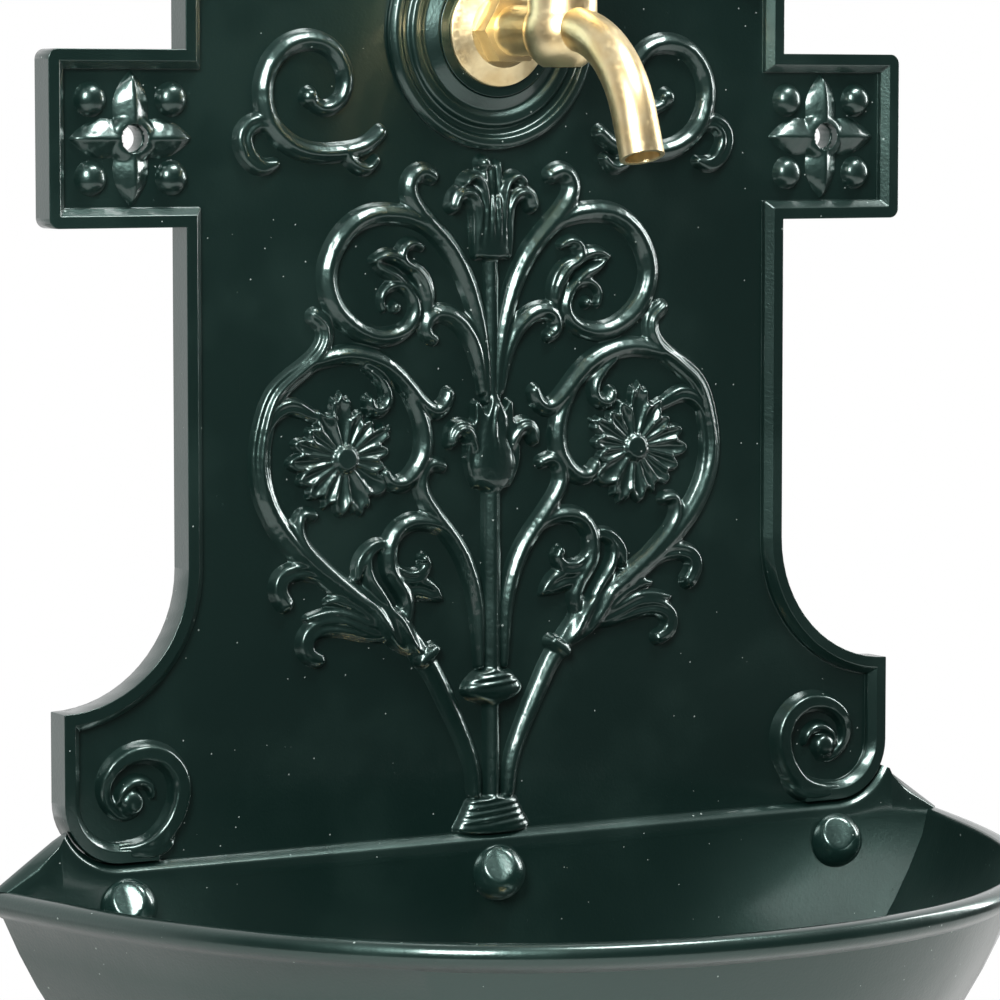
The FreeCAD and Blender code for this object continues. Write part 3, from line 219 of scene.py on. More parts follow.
def bumped(tree, height, depth):
    """The normal of a bump whose full height is a depth in millimetres."""
    inputs = {"Height": height, "Distance": depth * MM}
    return add_node(tree, "ShaderNodeBump", inputs).outputs["Normal"]


# Colour of the painted glints: pale specks that stand in for highlights on dust nibs
GLINT_COLOUR = (0.26, 0.31, 0.29)
PAINT_DEPTH = 0.11


def make_enamel(name, deep, pale, rough, wave_depth, pimple_depth):
    """Thick glossy paint, nearly black green, with pooled tone, a few dulled patches and pale flecks of
    painted glint.
    """
    material, tree, shader = new_material(
        name, IOR=1.62, Specular_Tint=(0.62, 1.0, 0.90, 1.0),
        Coat_Weight=0.85, Coat_Roughness=0.12, Coat_IOR=1.5,
    )
    skin = use_group(tree, CAST_SKIN, Wave_Depth=wave_depth, Pimple_Depth=pimple_depth)
    worn = use_group(tree, HANDLING)
    tone = mixed_colour(tree, worn.outputs["Patches"], deep, pale)
    # Painted glints: the pale flecks mixed into the base colour
    glint_flecked = mixed_colour(tree, skin.outputs["Painted Glints"], tone, GLINT_COLOUR)
    tree.links.new(glint_flecked, shader.inputs["Base Color"])
    tree.links.new(spread(tree, worn.outputs["Patches"], rough), shader.inputs["Roughness"])
    tree.links.new(bumped(tree, skin.outputs["Height"], PAINT_DEPTH), shader.inputs["Normal"])
    return material


def make_metal(name, colour, tarnish, rough, line_depth):
    """Turned and polished metal with faint lathe marks and patchy tarnish."""
    material, tree, shader = new_material(name, Metallic=1.0)
    marks = use_group(tree, TURNING_MARKS)
    worn = use_group(tree, HANDLING, Patch_Size=12.0)
    tree.links.new(mixed_colour(tree, worn.outputs["Patches"], colour, tarnish), shader.inputs["Base Color"])
    tree.links.new(spread(tree, marks.outputs["Scratches"], rough), shader.inputs["Roughness"])
    tree.links.new(bumped(tree, marks.outputs["Height"], line_depth), shader.inputs["Normal"])
    return material


def make_soft(name, colour, pale, rough, grain_size, grain_depth):
    """Rubber or fibre: dull, with a fine grain and dusty patches."""
    material, tree, shader = new_material(name)
    skin = use_group(tree, CAST_SKIN, Wave_Size=6.0, Peel_Size=grain_size, Peel_Depth=1.0, Pimple_Depth=0.0)
    worn = use_group(tree, HANDLING, Patch_Size=15.0)
    tree.links.new(mixed_colour(tree, worn.outputs["Patches"], colour, pale), shader.inputs["Base Color"])
    tree.links.new(spread(tree, worn.outputs["Specks"], rough), shader.inputs["Roughness"])
    tree.links.new(bumped(tree, skin.outputs["Height"], grain_depth), shader.inputs["Normal"])
    return material


# Enamel: colours where it pooled and where it is dulled, roughness from fresh to dulled, waves, pimples
ENAMEL = make_enamel(
    "green_enamel", (0.0030, 0.0106, 0.0088), (0.0038, 0.0128, 0.0105), (0.28, 0.38), 1.0, 1.0)
# The nut caps: the same green paint given a lighter colour, painted light for the faces that the caps turn to
# the lamps
LIT_NUT_ENAMEL = make_enamel(
    "lit_nut_enamel", (0.0046, 0.0165, 0.0138), (0.0058, 0.0190, 0.0156), (0.24, 0.34), 1.3, 0.4)
# Metal: bright and tarnished colour, roughness from plain to scratched, depth of the lathe lines
BRASS = make_metal("polished_brass", (0.98, 0.81, 0.48), (0.88, 0.68, 0.36), (0.34, 0.46), 0.012)
PLAIN_BRASS = make_metal("plain_brass", (0.72, 0.53, 0.24), (0.50, 0.36, 0.16), (0.28, 0.45), 0.02)
ZINC = make_metal("zinc_plate", (0.62, 0.63, 0.62), (0.45, 0.45, 0.43), (0.28, 0.48), 0.015)
# Rubber and fibre: clean and dusty colour, roughness, size and depth of the grain
RUBBER = make_soft("black_rubber", (0.02, 0.02, 0.02), (0.05, 0.05, 0.05), (0.62, 0.8), 0.5, 0.03)
PLUG_RUBBER = make_soft("plug_rubber", (0.03, 0.03, 0.032), (0.07, 0.07, 0.07), (0.5, 0.7), 0.8, 0.03)
FIBRE = make_soft("packing_fibre", (0.50, 0.44, 0.35), (0.62, 0.56, 0.46), (0.85, 0.95), 0.4, 0.15)

NODE_MATERIALS = {
    "enamelled_iron": ENAMEL, "enamelled_nut": LIT_NUT_ENAMEL, "zinc_steel": ZINC, "brass_body": BRASS,
    "brass_plain": PLAIN_BRASS, "black_rubber": RUBBER, "packing_fibre": FIBRE, "plug_rubber": PLUG_RUBBER,
}


def paint(obj, material):
    obj.data.materials.clear()
    obj.data.materials.append(material)


def new_piece(name, mesh, node, slot="enamelled_iron", body="fountain"):
    """An object on its body that stands for a CAD node."""
    piece = bpy.data.objects.new(name, mesh)
    bpy.context.scene.collection.objects.link(piece)
    paint(piece, NODE_MATERIALS[slot])
    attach(piece, body)
    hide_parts(node)


# Relief: heights over the panel on a fine grid

def smooth_line(points, step=None, samples=None):
    """Close points on a natural cubic curve through the given ones, with directions and shares of length."""
    knots = np.array(points, float)
    spans = np.linalg.norm(np.diff(knots, axis=0), axis=1)
    along = np.concatenate(([0.0], np.cumsum(spans)))
    count = len(knots)
    system = np.eye(count)
    target = np.zeros((count, 2))
    for i in range(1, count - 1):
        system[i, i - 1:i + 2] = spans[i - 1], 2 * (spans[i - 1] + spans[i]), spans[i]
        target[i] = 6 * ((knots[i + 1] - knots[i]) / spans[i] - (knots[i] - knots[i - 1]) / spans[i - 1])
    bend = np.linalg.solve(system, target)
    reach = np.linspace(0, along[-1], samples or int(along[-1] / step) + 2)
    i = np.clip(np.searchsorted(along, reach, side="right") - 1, 0, count - 2)
    span = spans[i][:, None]
    before = (along[i + 1] - reach)[:, None]
    after = (reach - along[i])[:, None]
    line = (bend[i] * before ** 3 + bend[i + 1] * after ** 3) / (6 * span)
    line += (knots[i] / span - bend[i] * span / 6) * before
    line += (knots[i + 1] / span - bend[i + 1] * span / 6) * after
    ways = np.gradient(line, axis=0)
    ways /= np.linalg.norm(ways, axis=1)[:, None]
    return line, ways, reach / along[-1]


def smoothed(height, rounds):
    for _ in range(rounds):
        for axis in (0, 1):
            height = (np.roll(height, 1, axis) + 2 * height + np.roll(height, -1, axis)) / 4
    return height


def ribbon_form(side, rounding, share):
    """A rounded band with a faint groove near each edge."""
    body = np.clip(1 - rounding ** 2, 0, 1) ** 0.72
    groove = np.exp(-((np.abs(side) - 0.46) / 0.14) ** 2) * np.clip(1 - rounding ** 4, 0, 1)
    return body - 0.11 * groove


def band_form(side, rounding, share):
    """A flat band with a soft bevel on each side, sinking towards its end."""
    sink = 1 - 0.7 * np.clip((share - 0.74) / 0.26, 0, 1)
    return np.clip((1 - rounding) / 0.45, 0, 1) ** 0.8 * sink


def ridged_form(side, rounding, share):
    """The ribbon, its far part cut by two grooves into three fine ridges."""
    plain = ribbon_form(side, rounding, share)
    grooves = 0.15 * (np.cos(side * math.pi * 2.4) - 0.7)
    ease = np.clip((share - 0.66) / 0.08, 0, 1)
    return plain + grooves * ease * np.clip(1 - rounding ** 3, 0, 1)


def fluted_form(side, rounding, share):
    """A thick leaf with three flutes that deepen towards its tip."""
    body = np.clip(1 - rounding ** 2.2, 0, 1) ** 0.7
    flutes = 0.17 * np.cos(side * math.pi * 2.6) * np.clip(share * 1.6, 0, 1)
    return body * (0.84 + 0.16 * share + flutes)


def leaf_form(side, rounding, share):
    """A hollow leaf: raised rims, a sunk vein, and a fluted tip that lifts."""
    body = np.clip(1 - rounding ** 2.2, 0, 1) ** 0.7
    vein = 0.30 * np.exp(-(side / 0.24) ** 2) * np.sin(np.clip(share, 0, 1) * math.pi) ** 0.7
    flutes = 0.10 * np.cos(side * math.pi * 3.2) * np.clip((share - 0.55) / 0.3, 0, 1)
    return body * (0.74 + 0.34 * share - vein + flutes)


def finger_form(side, rounding, share):
    """A narrow petal with a sharp ridge and a lifted tip."""
    ridge = (1 - np.clip(np.abs(side), 0, 1)) ** 0.7
    return ridge * np.clip(1 - rounding ** 3, 0, 1) ** 0.6 * (0.62 + 0.45 * share)


def petal_form(side, rounding, share):
    """A broad petal: a sharp crease on each side, the middle hollow, the tip turned up."""
    edge = np.clip(1 - rounding ** 5, 0, 1) ** 0.6
    crease = np.abs(side) ** 1.4
    return edge * (0.42 + 0.30 * crease + 0.42 * share ** 3)


def twisted_form(side, rounding, share):
    """Leaves bound together: slanting folds over a rounded bundle."""
    folds = np.sin(side * 5.5 + share * 9.0)
    return 1.42 * np.clip(1 - rounding ** 2.4, 0, 1) ** 0.6 * (0.90 + 0.16 * folds)


def knot_form(side, rounding, share):
    """A ring tied across a stem."""
    return 1.35 * np.clip(1 - rounding ** 2.6, 0, 1) ** 0.55


def roof_form(side, rounding, share):
    return np.clip(1 - rounding, 0, 1) ** 0.85


def reached(line, middle, reach):
    """The slice of an even row of grid places that lies within reach of the middle."""
    low = int((middle - reach - line[0]) / GRID)
    high = int((middle + reach - line[0]) / GRID)
    return slice(max(0, low), max(0, high + 2))


class Relief:
    """A rectangle of the panel; strokes, domes and turned forms are joined into its heights."""

    def __init__(self, low, high, seed):
        self.x = np.arange(low[0], high[0] + GRID, GRID)
        self.z = np.arange(low[1], high[1] + GRID, GRID)
        self.across, self.up = np.meshgrid(self.x, self.z)
        self.height = np.full(self.across.shape, SUNK)
        self.random = np.random.default_rng(seed)

    def join(self, height, blend=0.9):
        """The higher of the two, with a soft fillet where they meet above the panel."""
        upper = np.maximum(self.height, height)
        lower = np.minimum(self.height, height)
        soft = np.clip(1 - (upper - lower) / blend, 0, 1) * np.clip(lower / blend, 0, 1)
        self.height = upper + soft ** 2 * blend / 4

    def stroke(self, points, widths, form=ribbon_form, relief=RELIEF, blend=0.9):
        """A raised band along a curve, with its widths at start, middle and end."""
        line, ways, shares = smooth_line(points, GRID * 0.7)
        start, middle, end = widths
        full = start * (1 - shares) * (1 - 2 * shares)
        full += middle * 4 * shares * (1 - shares)
        full += end * shares * (2 * shares - 1)
        near = np.full(self.height.shape, np.inf)
        side = np.zeros(self.height.shape)
        share = np.zeros(self.height.shape)
        half = np.ones(self.height.shape)
        for (px, pz), (wx, wz), part, width in zip(line, ways, shares, full / 2):
            reach = width + 3 * GRID
            window = (reached(self.z, pz, reach), reached(self.x, px, reach))
            dx = self.across[window] - px
            dz = self.up[window] - pz
            gap = dx * dx + dz * dz
            closer = gap < near[window]
            near[window] = np.where(closer, gap, near[window])
            side[window] = np.where(closer, (dx * wz - dz * wx) / width, side[window])
            share[window] = np.where(closer, part, share[window])
            half[window] = np.where(closer, width, half[window])
        rounding = np.minimum(np.sqrt(near) / half, 3)
        side = np.clip(side, -1, 1)
        scale = relief * np.sqrt(half * 2 / max(widths))
        raised = form(side, np.minimum(rounding, 1), share) * scale
        self.join(np.where(rounding < 1, raised, (1 - rounding) * half * 2), blend)

    def dome(self, place, radius, height, flat=2.0, blend=0.6):
        """A round boss; the larger flat is, the flatter its top."""
        gap = np.hypot(self.across - place[0], self.up - place[1]) / radius
        raised = height * np.clip(1 - gap ** flat, 0, 1) ** 0.55
        self.join(np.where(gap < 1, raised, (1 - gap) * radius * 2), blend)

    def turned(self, profile, relief, winding=0.0, blend=0.6):
        """An upright turned form in half round, with slanting windings above its widest place."""
        heights, halves = np.array(profile, float).T
        half = np.interp(self.up, heights, halves, left=0, right=0)
        share = np.where(half > 0, np.abs(self.across) / np.maximum(half, 0.01), 3)
        bulge = relief * (0.42 + 0.58 * half / halves.max())
        widest = heights[halves.argmax()]
        turns = np.cos((self.up - WINDING_SLANT * self.across) * 2 * math.pi / WINDING_PITCH)
        turns *= np.clip((self.up - widest - 0.5) / 1.5, 0, 1)
        raised = bulge * (1 + winding * turns) * np.clip(1 - share ** 2.4, 0, 1) ** 0.55
        self.join(np.where(share < 1, raised, (1 - share) * 6), blend)

    def roughen(self, depth, size):
        """The uneven surface of a hand-finished pattern, stronger on the raised parts."""
        grain = smoothed(self.random.standard_normal(self.height.shape), int((size / GRID) ** 2))
        grain /= grain.std()
        self.height += grain * depth * np.clip(self.height / 2, 0, 1)

    def mirrored(self, seed):
        """The same relief on the other side of the middle, with a random order of its own."""
        other = Relief.__new__(Relief)
        other.x = -self.x[::-1]
        other.z = self.z
        other.across, other.up = np.meshgrid(other.x, other.z)
        other.height = self.height[:, ::-1].copy()
        other.random = np.random.default_rng(seed)
        return other

    def mesh(self, name, hole=None):
        """A closed mesh of the raised cells: the skin, a flat underside and the thin rim between them."""
        height = smoothed(self.height, 2)
        raised = height > RAISED_FROM
        cells = raised[:-1, :-1] | raised[1:, :-1] | raised[:-1, 1:] | raised[1:, 1:]
        if hole:
            clear = np.hypot(self.across - hole[0], self.up - hole[1]) > hole[2]
            cells &= clear[:-1, :-1] & clear[1:, :-1] & clear[:-1, 1:] & clear[1:, 1:]
        rows, columns = np.nonzero(cells)
        width = len(self.x)
        corner = rows * width + columns
        quads = np.stack([corner, corner + 1, corner + width + 1, corner + width], axis=1)
        used, flat = np.unique(quads, return_inverse=True)
        quads = flat.reshape(-1, 4)
        count = len(used)
        front = PANEL_FACE - height.ravel()[used]
        place = np.stack([self.across.ravel()[used], front, self.up.ravel()[used]], axis=1)
        under = place.copy()
        under[:, 1] = PANEL_FACE - UNDERSIDE
        edges = quads[:, [0, 1, 1, 2, 2, 3, 3, 0]].reshape(-1, 2)
        key = np.sort(edges, axis=1)
        key = key[:, 0] * count + key[:, 1]
        _, first, times = np.unique(key, return_index=True, return_counts=True)
        rim = edges[first[times == 1]]
        walls = np.stack([rim[:, 1], rim[:, 0], rim[:, 0] + count, rim[:, 1] + count], axis=1)
        faces = np.concatenate([quads, quads[:, ::-1] + count, walls])
        mesh = bpy.data.meshes.new(name)
        mesh.from_pydata((np.concatenate([place, under]) * MM).tolist(), [], faces.tolist())
        smooth = np.zeros(len(faces), bool)
        smooth[:len(quads)] = True
        mesh.polygons.foreach_set("use_smooth", smooth)
        merge_underside(mesh, len(quads), 2 * len(quads))
        return mesh


def merge_underside(mesh, first, last):
    """Joins the flat underside's squares into few faces, always in the same order."""
    shape = bmesh.new()
    shape.from_mesh(mesh)
    shape.faces.ensure_lookup_table()
    squares = shape.faces[first:last]
    flat = set(squares)
    edges = dict.fromkeys(edge for face in squares for edge in face.edges)
    inner = [edge for edge in edges if all(face in flat for face in edge.link_faces)]
    bmesh.ops.dissolve_limit(shape, angle_limit=0.01, edges=inner, verts=[])
    shape.to_mesh(mesh)
    shape.free()


# Strokes of the right-hand side, from root to tip: points, widths at start, middle and end, and form
LOWER_STROKES = [
    ([(7.8, -263), (8.8, -253), (12, -243), (17, -232), (22.5, -221), (28, -211), (33, -204.5),
      (40, -196.5), (49, -190), (62, -181), (74, -172.5), (86, -162.5), (94.5, -153), (101, -141.5),
      (104, -127), (102, -112), (97, -100), (89, -93), (82, -88), (76, -81), (75.5, -74), (80, -69.5)],
      (7, 10.5, 7.5), ridged_form),
    ([(92, -96), (85.5, -90), (77, -86.8), (66.2, -85), (55.6, -86.6), (45.1, -91.8), (37.2, -99.4),
      (30.8, -106), (25.6, -108.4), (21.6, -105.9), (19.8, -101.8)], (5, 9, 6.8), ribbon_form),
    ([(41.5, -95.5), (36, -104), (32.2, -111.5), (30.8, -119), (31.8, -126.8), (36, -133.2),
      (41.8, -136.8), (46.4, -135.8), (48.6, -132.4)], (4, 9, 6), ribbon_form),
    ([(57.2, -90), (52.4, -93.6), (48.8, -98.1), (47.8, -103.2), (50.6, -106.8), (54.8, -106.3),
      (55.8, -103.6)], (4, 6.2, 6.6), ribbon_form),
    ([(5.6, -211), (6, -198), (7, -186), (10.2, -174), (15.5, -163), (22.5, -154), (28.5, -146),
      (32, -139), (31.5, -133), (28, -129.6), (23, -130.4)], (5, 8.5, 6), ribbon_form),
    ([(12, -167), (19, -158.5), (25.7, -153.8), (32.8, -152.2), (39.8, -153.2), (45.2, -158), (47, -164.5),
      (45.8, -172), (41.5, -178.5), (39, -184.5), (39.5, -191)], (4, 8.5, 7), ribbon_form),
    ([(46.5, -165), (44.5, -170.5), (38.5, -174.2), (32.5, -172.8), (30.2, -168.8)],
      (4, 7.5, 5.5), leaf_form),
    ([(40.5, -179), (34.5, -178.2), (28.5, -180.2), (22.5, -184.2)], (7, 11, 1.5), leaf_form),
    ([(47.5, -160.5), (52.5, -160.8), (57, -163.5), (60.5, -168), (61.5, -173)], (4, 7, 4), leaf_form),
    ([(54.5, -161.5), (56.8, -167), (55.8, -173.5), (51.5, -180), (47.5, -186)],
      (3.5, 6.5, 6), ribbon_form),
    ([(50, -190), (58, -183.5), (67, -176.2), (77.5, -167.2), (84.8, -159.4), (87.4, -152.4), (86, -147.6),
      (81, -147.6)], (6, 7, 5.5), ribbon_form),
    ([(68, -177), (75.7, -172.6), (83.4, -169.6), (90.6, -169.8), (95.4, -172.8), (96, -177),
      (93.5, -181.5)], (6, 8, 8.5), leaf_form),
    ([(42, -196.5), (50, -192.6), (56.5, -187.6), (62.5, -183.6), (68.5, -182), (75, -181.8)],
      (6, 9, 3), leaf_form),
    ([(44, -196.5), (53, -194.6), (61, -191.6), (68, -188.6), (76, -187.4), (84, -188.2)],
      (6, 8, 3), leaf_form),
    ([(48, -196.5), (56, -195.6), (65, -193), (73, -191.6), (80.4, -192.8), (84.4, -197.4), (83.4, -202),
      (78.8, -204.6)], (6, 9, 7), leaf_form),
    ([(34, -203), (39.5, -198.6), (45, -193.6), (51, -188.8), (57, -183.6)], (8, 14, 6), twisted_form),
    ([(27.4, -203.4), (30.4, -205.4), (33.4, -207.6)], (6, 6.6, 6), knot_form),
]
UPPER_STROKES = [
    ([(2.2, -105), (2.6, -94), (3.8, -84), (5.8, -74), (9, -63), (13.8, -52), (20.6, -42), (28.4, -34),
      (34.6, -27), (37.4, -20.5), (35.8, -15.4), (31, -13.6), (27.6, -15)], (4.5, 9, 7.8), ribbon_form),
    ([(22, -41), (27, -36.5), (35, -32), (45, -30), (55, -30.5), (64, -35), (71, -43.5), (74, -54),
      (72, -63.5), (66.2, -71.2), (60.4, -75.4), (53, -78.2), (45.1, -78), (38, -74.6), (34.7, -69),
      (36.2, -62.4), (41.2, -58.2), (47, -58.8), (50.2, -63), (49.4, -67.4)], (7, 9.4, 3.4), ribbon_form),
    ([(29.8, -69.5), (29.2, -63.5), (30.6, -58), (34, -53), (39.4, -49.4)], (4, 8.5, 5), fluted_form),
    ([(37.6, -51), (41, -47.6), (40.4, -43.6), (36.6, -41.6), (32.2, -43.2)], (6, 6, 4), ribbon_form),
    ([(38.6, -51), (44, -47), (49.4, -46.4), (53.7, -48.1)], (5, 6, 4), fluted_form),
    ([(39.5, -58), (44.4, -54.4), (49.4, -52), (53.3, -48.6)], (4, 5.4, 2.6), fluted_form),
    ([(4.2, -101), (5.4, -92), (8.4, -82), (13.8, -74.2), (20.6, -70), (26.6, -70), (29.8, -73.5),
      (29.2, -77.9), (26.6, -79.6)], (4.5, 8.6, 6), ribbon_form),
]
# The border runs on into a curl, a piece that bridges its root, and a crescent collar under the ball
CORNER_CURL = [
    (166, -274.2), (157.4, -273.6), (150, -270.6), (143.5, -263.8), (139.8, -255), (140, -247),
    (143.6, -240.9), (149.6, -237), (157.4, -236.2), (165.2, -238.8), (170.6, -244.4), (171.9, -251),
    (169, -257.2), (163.6, -260.6), (158.4, -260),
]
CORNER_FAIRING = [(161, -274.8), (152.6, -275), (145.8, -272.6), (140.8, -267.4)]
CORNER_COLLAR = [
    (151.2, -253.6), (152.2, -249.8), (156.4, -247.3), (161.4, -248), (165.2, -251.6), (166, -255),
]
TAP_SCROLL_STROKES = [
    ([(50.5, 2), (57, -3), (67, -5.5), (77, -6), (88, -3.5), (97, 3.5), (101.5, 14), (100, 26), (92.5, 35),
      (81, 38), (71, 34), (66, 25.5), (67.5, 16), (75, 11.5), (82, 15)], (7, 9, 6), ribbon_form),
    ([(97, 2), (104, 6), (110, 2), (109, -6), (103, -11), (97, -10)], (5, 9, 5), leaf_form),
    ([(67, -5), (62, -10.5), (56.5, -12), (52.5, -8.5)], (5, 6, 4.5), ribbon_form),
]
# The centre stalk's turned forms: height and half width from below up, share of the usual relief, winding
TURNED_FORMS = [
    ([(-279.8, 13), (-278.8, 16.6), (-277, 17.8), (-274.6, 16.4), (-271.6, 14.6), (-268.4, 13), (-266, 12),
      (-264.8, 10.6)], 1.4, 0.12),
    ([(-227, 4), (-226.2, 7.4), (-224.6, 11.2), (-222.8, 13.4), (-221, 14.2), (-219, 13.6), (-216.8, 12),
      (-214.8, 10), (-213.4, 8)], 1.5, 0.12),
    ([(-142, 1), (-141.2, 4.4), (-139.4, 7.4), (-136.4, 9.8), (-131, 11.2), (-125, 10.4), (-119, 8.6),
      (-114, 7)], 1.3, 0.0),
    ([(-48, 7), (-47, 9), (-40, 9.4), (-33, 8.8), (-28, 7)], 1.15, 0.0),
]
# The two cups of the centre stalk, right-hand side; the last value is a share of the usual relief
CUP_STROKES = [
    ([(7.4, -138), (9, -130), (8, -120), (6.4, -113), (7.6, -106)], (4, 8, 3.4), petal_form, 1.4),
    ([(7, -127), (9.6, -120), (12.8, -116), (16.4, -116), (19.2, -121)], (4, 8.5, 6), fluted_form, 1.25),
    ([(7.4, -47), (7, -38), (6.6, -30), (8.2, -24.6), (12, -21.8), (16, -22.8), (18, -27)],
      (3.6, 7.5, 7), fluted_form, 1.3),
    ([(4.4, -44), (4.1, -33), (4.4, -23), (6.8, -17), (10.4, -15.4), (13.4, -17.8)],
      (2.4, 4.6, 5), ribbon_form, 1.5),
    ([(1.7, -44), (1.6, -34), (1.4, -24)], (2.2, 2.8, 2), finger_form, 2.0),
]
# In front of the tulip, and in front of the lily; the last values are the share of relief and the blend
TULIP_STROKES = [
    ([(0, -136), (0.2, -123), (0.5, -112), (0.8, -103)], (5, 13, 3), petal_form, 1.7, 0.3),
    ([(0.4, -138), (1.4, -129), (-0.6, -118), (0.6, -107)], (2, 2.6, 2), finger_form, 1.75, 0.3),
]
LILY_STROKES = [
    ([(-2.6, -24), (-4, -18), (-4.6, -13)], (4, 5, 4.5), ribbon_form, 1.05, 0.4),
    ([(1.8, -24), (2.6, -17), (2.4, -10)], (2.6, 3.4, 2.6), finger_form, 1.35, 0.4),
    ([(-0.4, -31), (-0.8, -22), (-0.8, -12)], (6.5, 7, 5), ribbon_form, 0.95, 0.6),
]
# Petals of the right-hand flower, anticlockwise: direction in degrees, reach, number of lobes at the tip
PETALS = [
    (-2, 26, 1), (17, 24.5, 1), (36, 21, 1), (58, 23.5, 2), (86, 27.5, 3), (111, 20.5, 1), (129, 20, 1),
    (150, 25, 3), (172, 20.5, 1), (191, 18.5, 1), (215, 23, 1), (252, 24.5, 3), (276, 23, 1), (296, 22, 2),
    (318, 22.5, 1), (337, 23, 1),
]
FLOWER_BRIDGE = [(79, -109.5), (84, -107), (90, -104.8), (96, -106.5), (100.4, -112), (102.3, -119)]


def draw(relief, strokes):
    for points, widths, form in strokes:
        relief.stroke(points, widths, form)
    return relief


def joined(name, meshes):
    """One mesh of several, which are removed."""
    shape = bmesh.new()
    for mesh in meshes:
        shape.from_mesh(mesh)
        bpy.data.meshes.remove(mesh)
    whole = bpy.data.meshes.new(name)
    shape.to_mesh(whole)
    shape.free()
    return whole


def make_pair(name, node, right, seed, rough, hole=None):
    """The right-hand relief and its mirror image as one piece, each with its own unevenness."""
    halves = []
    for half, side in ((right, 1), (right.mirrored(seed), -1)):
        half.roughen(*rough)
        halves.append(half.mesh(name, hole and (side * hole[0], hole[1], hole[2])))
    new_piece(name, joined(name, halves), node)


def make_scrollwork():
    """The large scrolls of both sides, each half a piece of its own."""
    right = draw(Relief((0.25, -270), (112, -4), 11), LOWER_STROKES + UPPER_STROKES)
    right.dome((44, -66.6), 2.7, RELIEF * 0.9)
    right.dome((31.4, -167), 2.8, RELIEF)
    halves = [
        (right, "scrollwork_right", "scroll_right"),
        (right.mirrored(12), "scrollwork_left", "scroll_left"),
    ]
    for half, name, node in halves:
        half.roughen(0.05, 0.75)
        new_piece(name, half.mesh(name), node)


def flower_height(across, up):
    """Dished petals round a boss: sharp ridges part them, and their lobed tips turn up."""
    reach = np.hypot(across, up)
    angle = np.degrees(np.arctan2(up, across))
    height = np.full(across.shape, SUNK)
    for i, (way, tip, lobes) in enumerate(PETALS):
        before = PETALS[i - 1][0] - (360 if i == 0 else 0)
        after = PETALS[(i + 1) % len(PETALS)][0] + (360 if i + 1 == len(PETALS) else 0)
        turn = (angle - way + 180) % 360 - 180
        side = np.where(turn < 0, turn / ((way - before) / 2), turn / ((after - way) / 2))
        lobing = 0.10 * (1 - np.cos(side * lobes * math.pi)) / 2 * (lobes > 1)
        outline = tip * (1 - 0.20 * np.abs(side) ** 2) * (1 - lobing)
        share = reach / outline
        ridge = np.clip(np.abs(side), 0, 1) ** 1.9 * (1.10 - 0.35 * share)
        lift = 0.34 * np.clip((share - 0.62) / 0.3, 0, 1) ** 2
        raised = RELIEF * (0.34 + 0.46 * ridge + lift) * np.clip((1 - share) / 0.07, 0, 1) ** 0.5
        petal = np.where(share < 1, raised, (1 - share) * outline * 1.5)
        height = np.where(np.abs(side) <= 1, np.maximum(petal, SUNK), height)
    return height


def make_rosettes():
    """Two flower heads with a flat-topped boss; each flower hangs from its scroll by one long leaf."""
    boss_radius = 5.8
    recess_radius, recess_depth = 4.2, 0.4
    right = Relief((38, -156), (104, -92), 21)
    across, up = right.across - ROSETTE[0], right.up - ROSETTE[1]
    right.height = flower_height(across, up)
    right.stroke(FLOWER_BRIDGE, (5, 7.5, 2.4), leaf_form, RELIEF * 0.85, 0.4)
    right.dome(ROSETTE, boss_radius, RELIEF + 0.2, 5, 0.5)
    right.height -= recess_depth * np.clip((recess_radius - np.hypot(across, up)) / 1.4, 0, 1)
    make_pair("flower_heads", "rosettes", right, 22, (0.05, 0.9))


def make_centre():
    """The stalk from its plinth through the collar and the tulip cup to the lily."""
    stem = Relief((-24, -280), (24, -3), 31)
    for low, high, width, share in ((-268, -226, 7.6, 0.95), (-216, -139, 9, 0.95), (-104, -44, 7.2, 0.72)):
        points = [(0, low), (0, (low + high) / 2), (0, high)]
        stem.stroke(points, (width, width, width), ribbon_form, RELIEF * share)
    for profile, share, winding in TURNED_FORMS:
        stem.turned(profile, RELIEF * share, winding)
    for points, widths, form, share in CUP_STROKES:
        for side in (1, -1):
            stem.stroke([(side * x, z) for x, z in points], widths, form, RELIEF * share, 0.35)
    for points, widths, form, share, blend in TULIP_STROKES:
        stem.stroke(points, widths, form, RELIEF * share, blend)
    stem.dome((-4.4, -10.2), 3.6, RELIEF * 1.25)
    for points, widths, form, share, blend in LILY_STROKES:
        stem.stroke(points, widths, form, RELIEF * share, blend)
    stem.roughen(0.05, 0.75)
    new_piece("centre_stalk", stem.mesh("centre_stalk"), "centre_stem")


def make_corners():
    """The border runs on into a curl round a ball with a crescent collar."""
    right = Relief((124, -280), (182, -222), 41)
    right.stroke(CORNER_CURL, (7.6, 9.6, 3), band_form, 5.15)
    right.stroke(CORNER_FAIRING, (6.4, 6.6, 2.4), band_form, 5.15)
    right.stroke(CORNER_COLLAR, (2.6, 5.6, 2.6), ribbon_form, 4.4)
    right.dome(CORNER_BALL, 5.4, 4.4, 3.4, 0.1)
    make_pair("corner_scrolls", "corner_volutes", right, 42, (0.06, 1.4))


def make_side_scrolls():
    """The scrolls on both sides of the tap."""
    right = draw(Relief((44, -18), (116, 46), 51), TAP_SCROLL_STROKES)
    right.dome((82, 16), 4.2, RELIEF)
    make_pair("side_scrolls", "tap_scrolls", right, 52, (0.06, 1.2))


def make_stars():
    """Stars of four roof-shaped arms round the open hanging holes."""
    edge = 28
    right = Relief((HOLE_X - edge, -edge), (HOLE_X + edge, edge), 61)
    for way in ((1, 0), (0, 1), (-1, 0), (0, -1)):
        points = [(HOLE_X + way[0] * reach, way[1] * reach) for reach in (3, 9, 17, 25.5)]
        right.stroke(points, (10, 15, 1), roof_form, RELIEF * 1.05, 0.5)
    right.dome((HOLE_X, 0), 10, RELIEF * 0.95, 5)
    make_pair("stars", "star_bosses", right, 62, (0.05, 0.9), (HOLE_X, 0, HOLE_RADIUS))


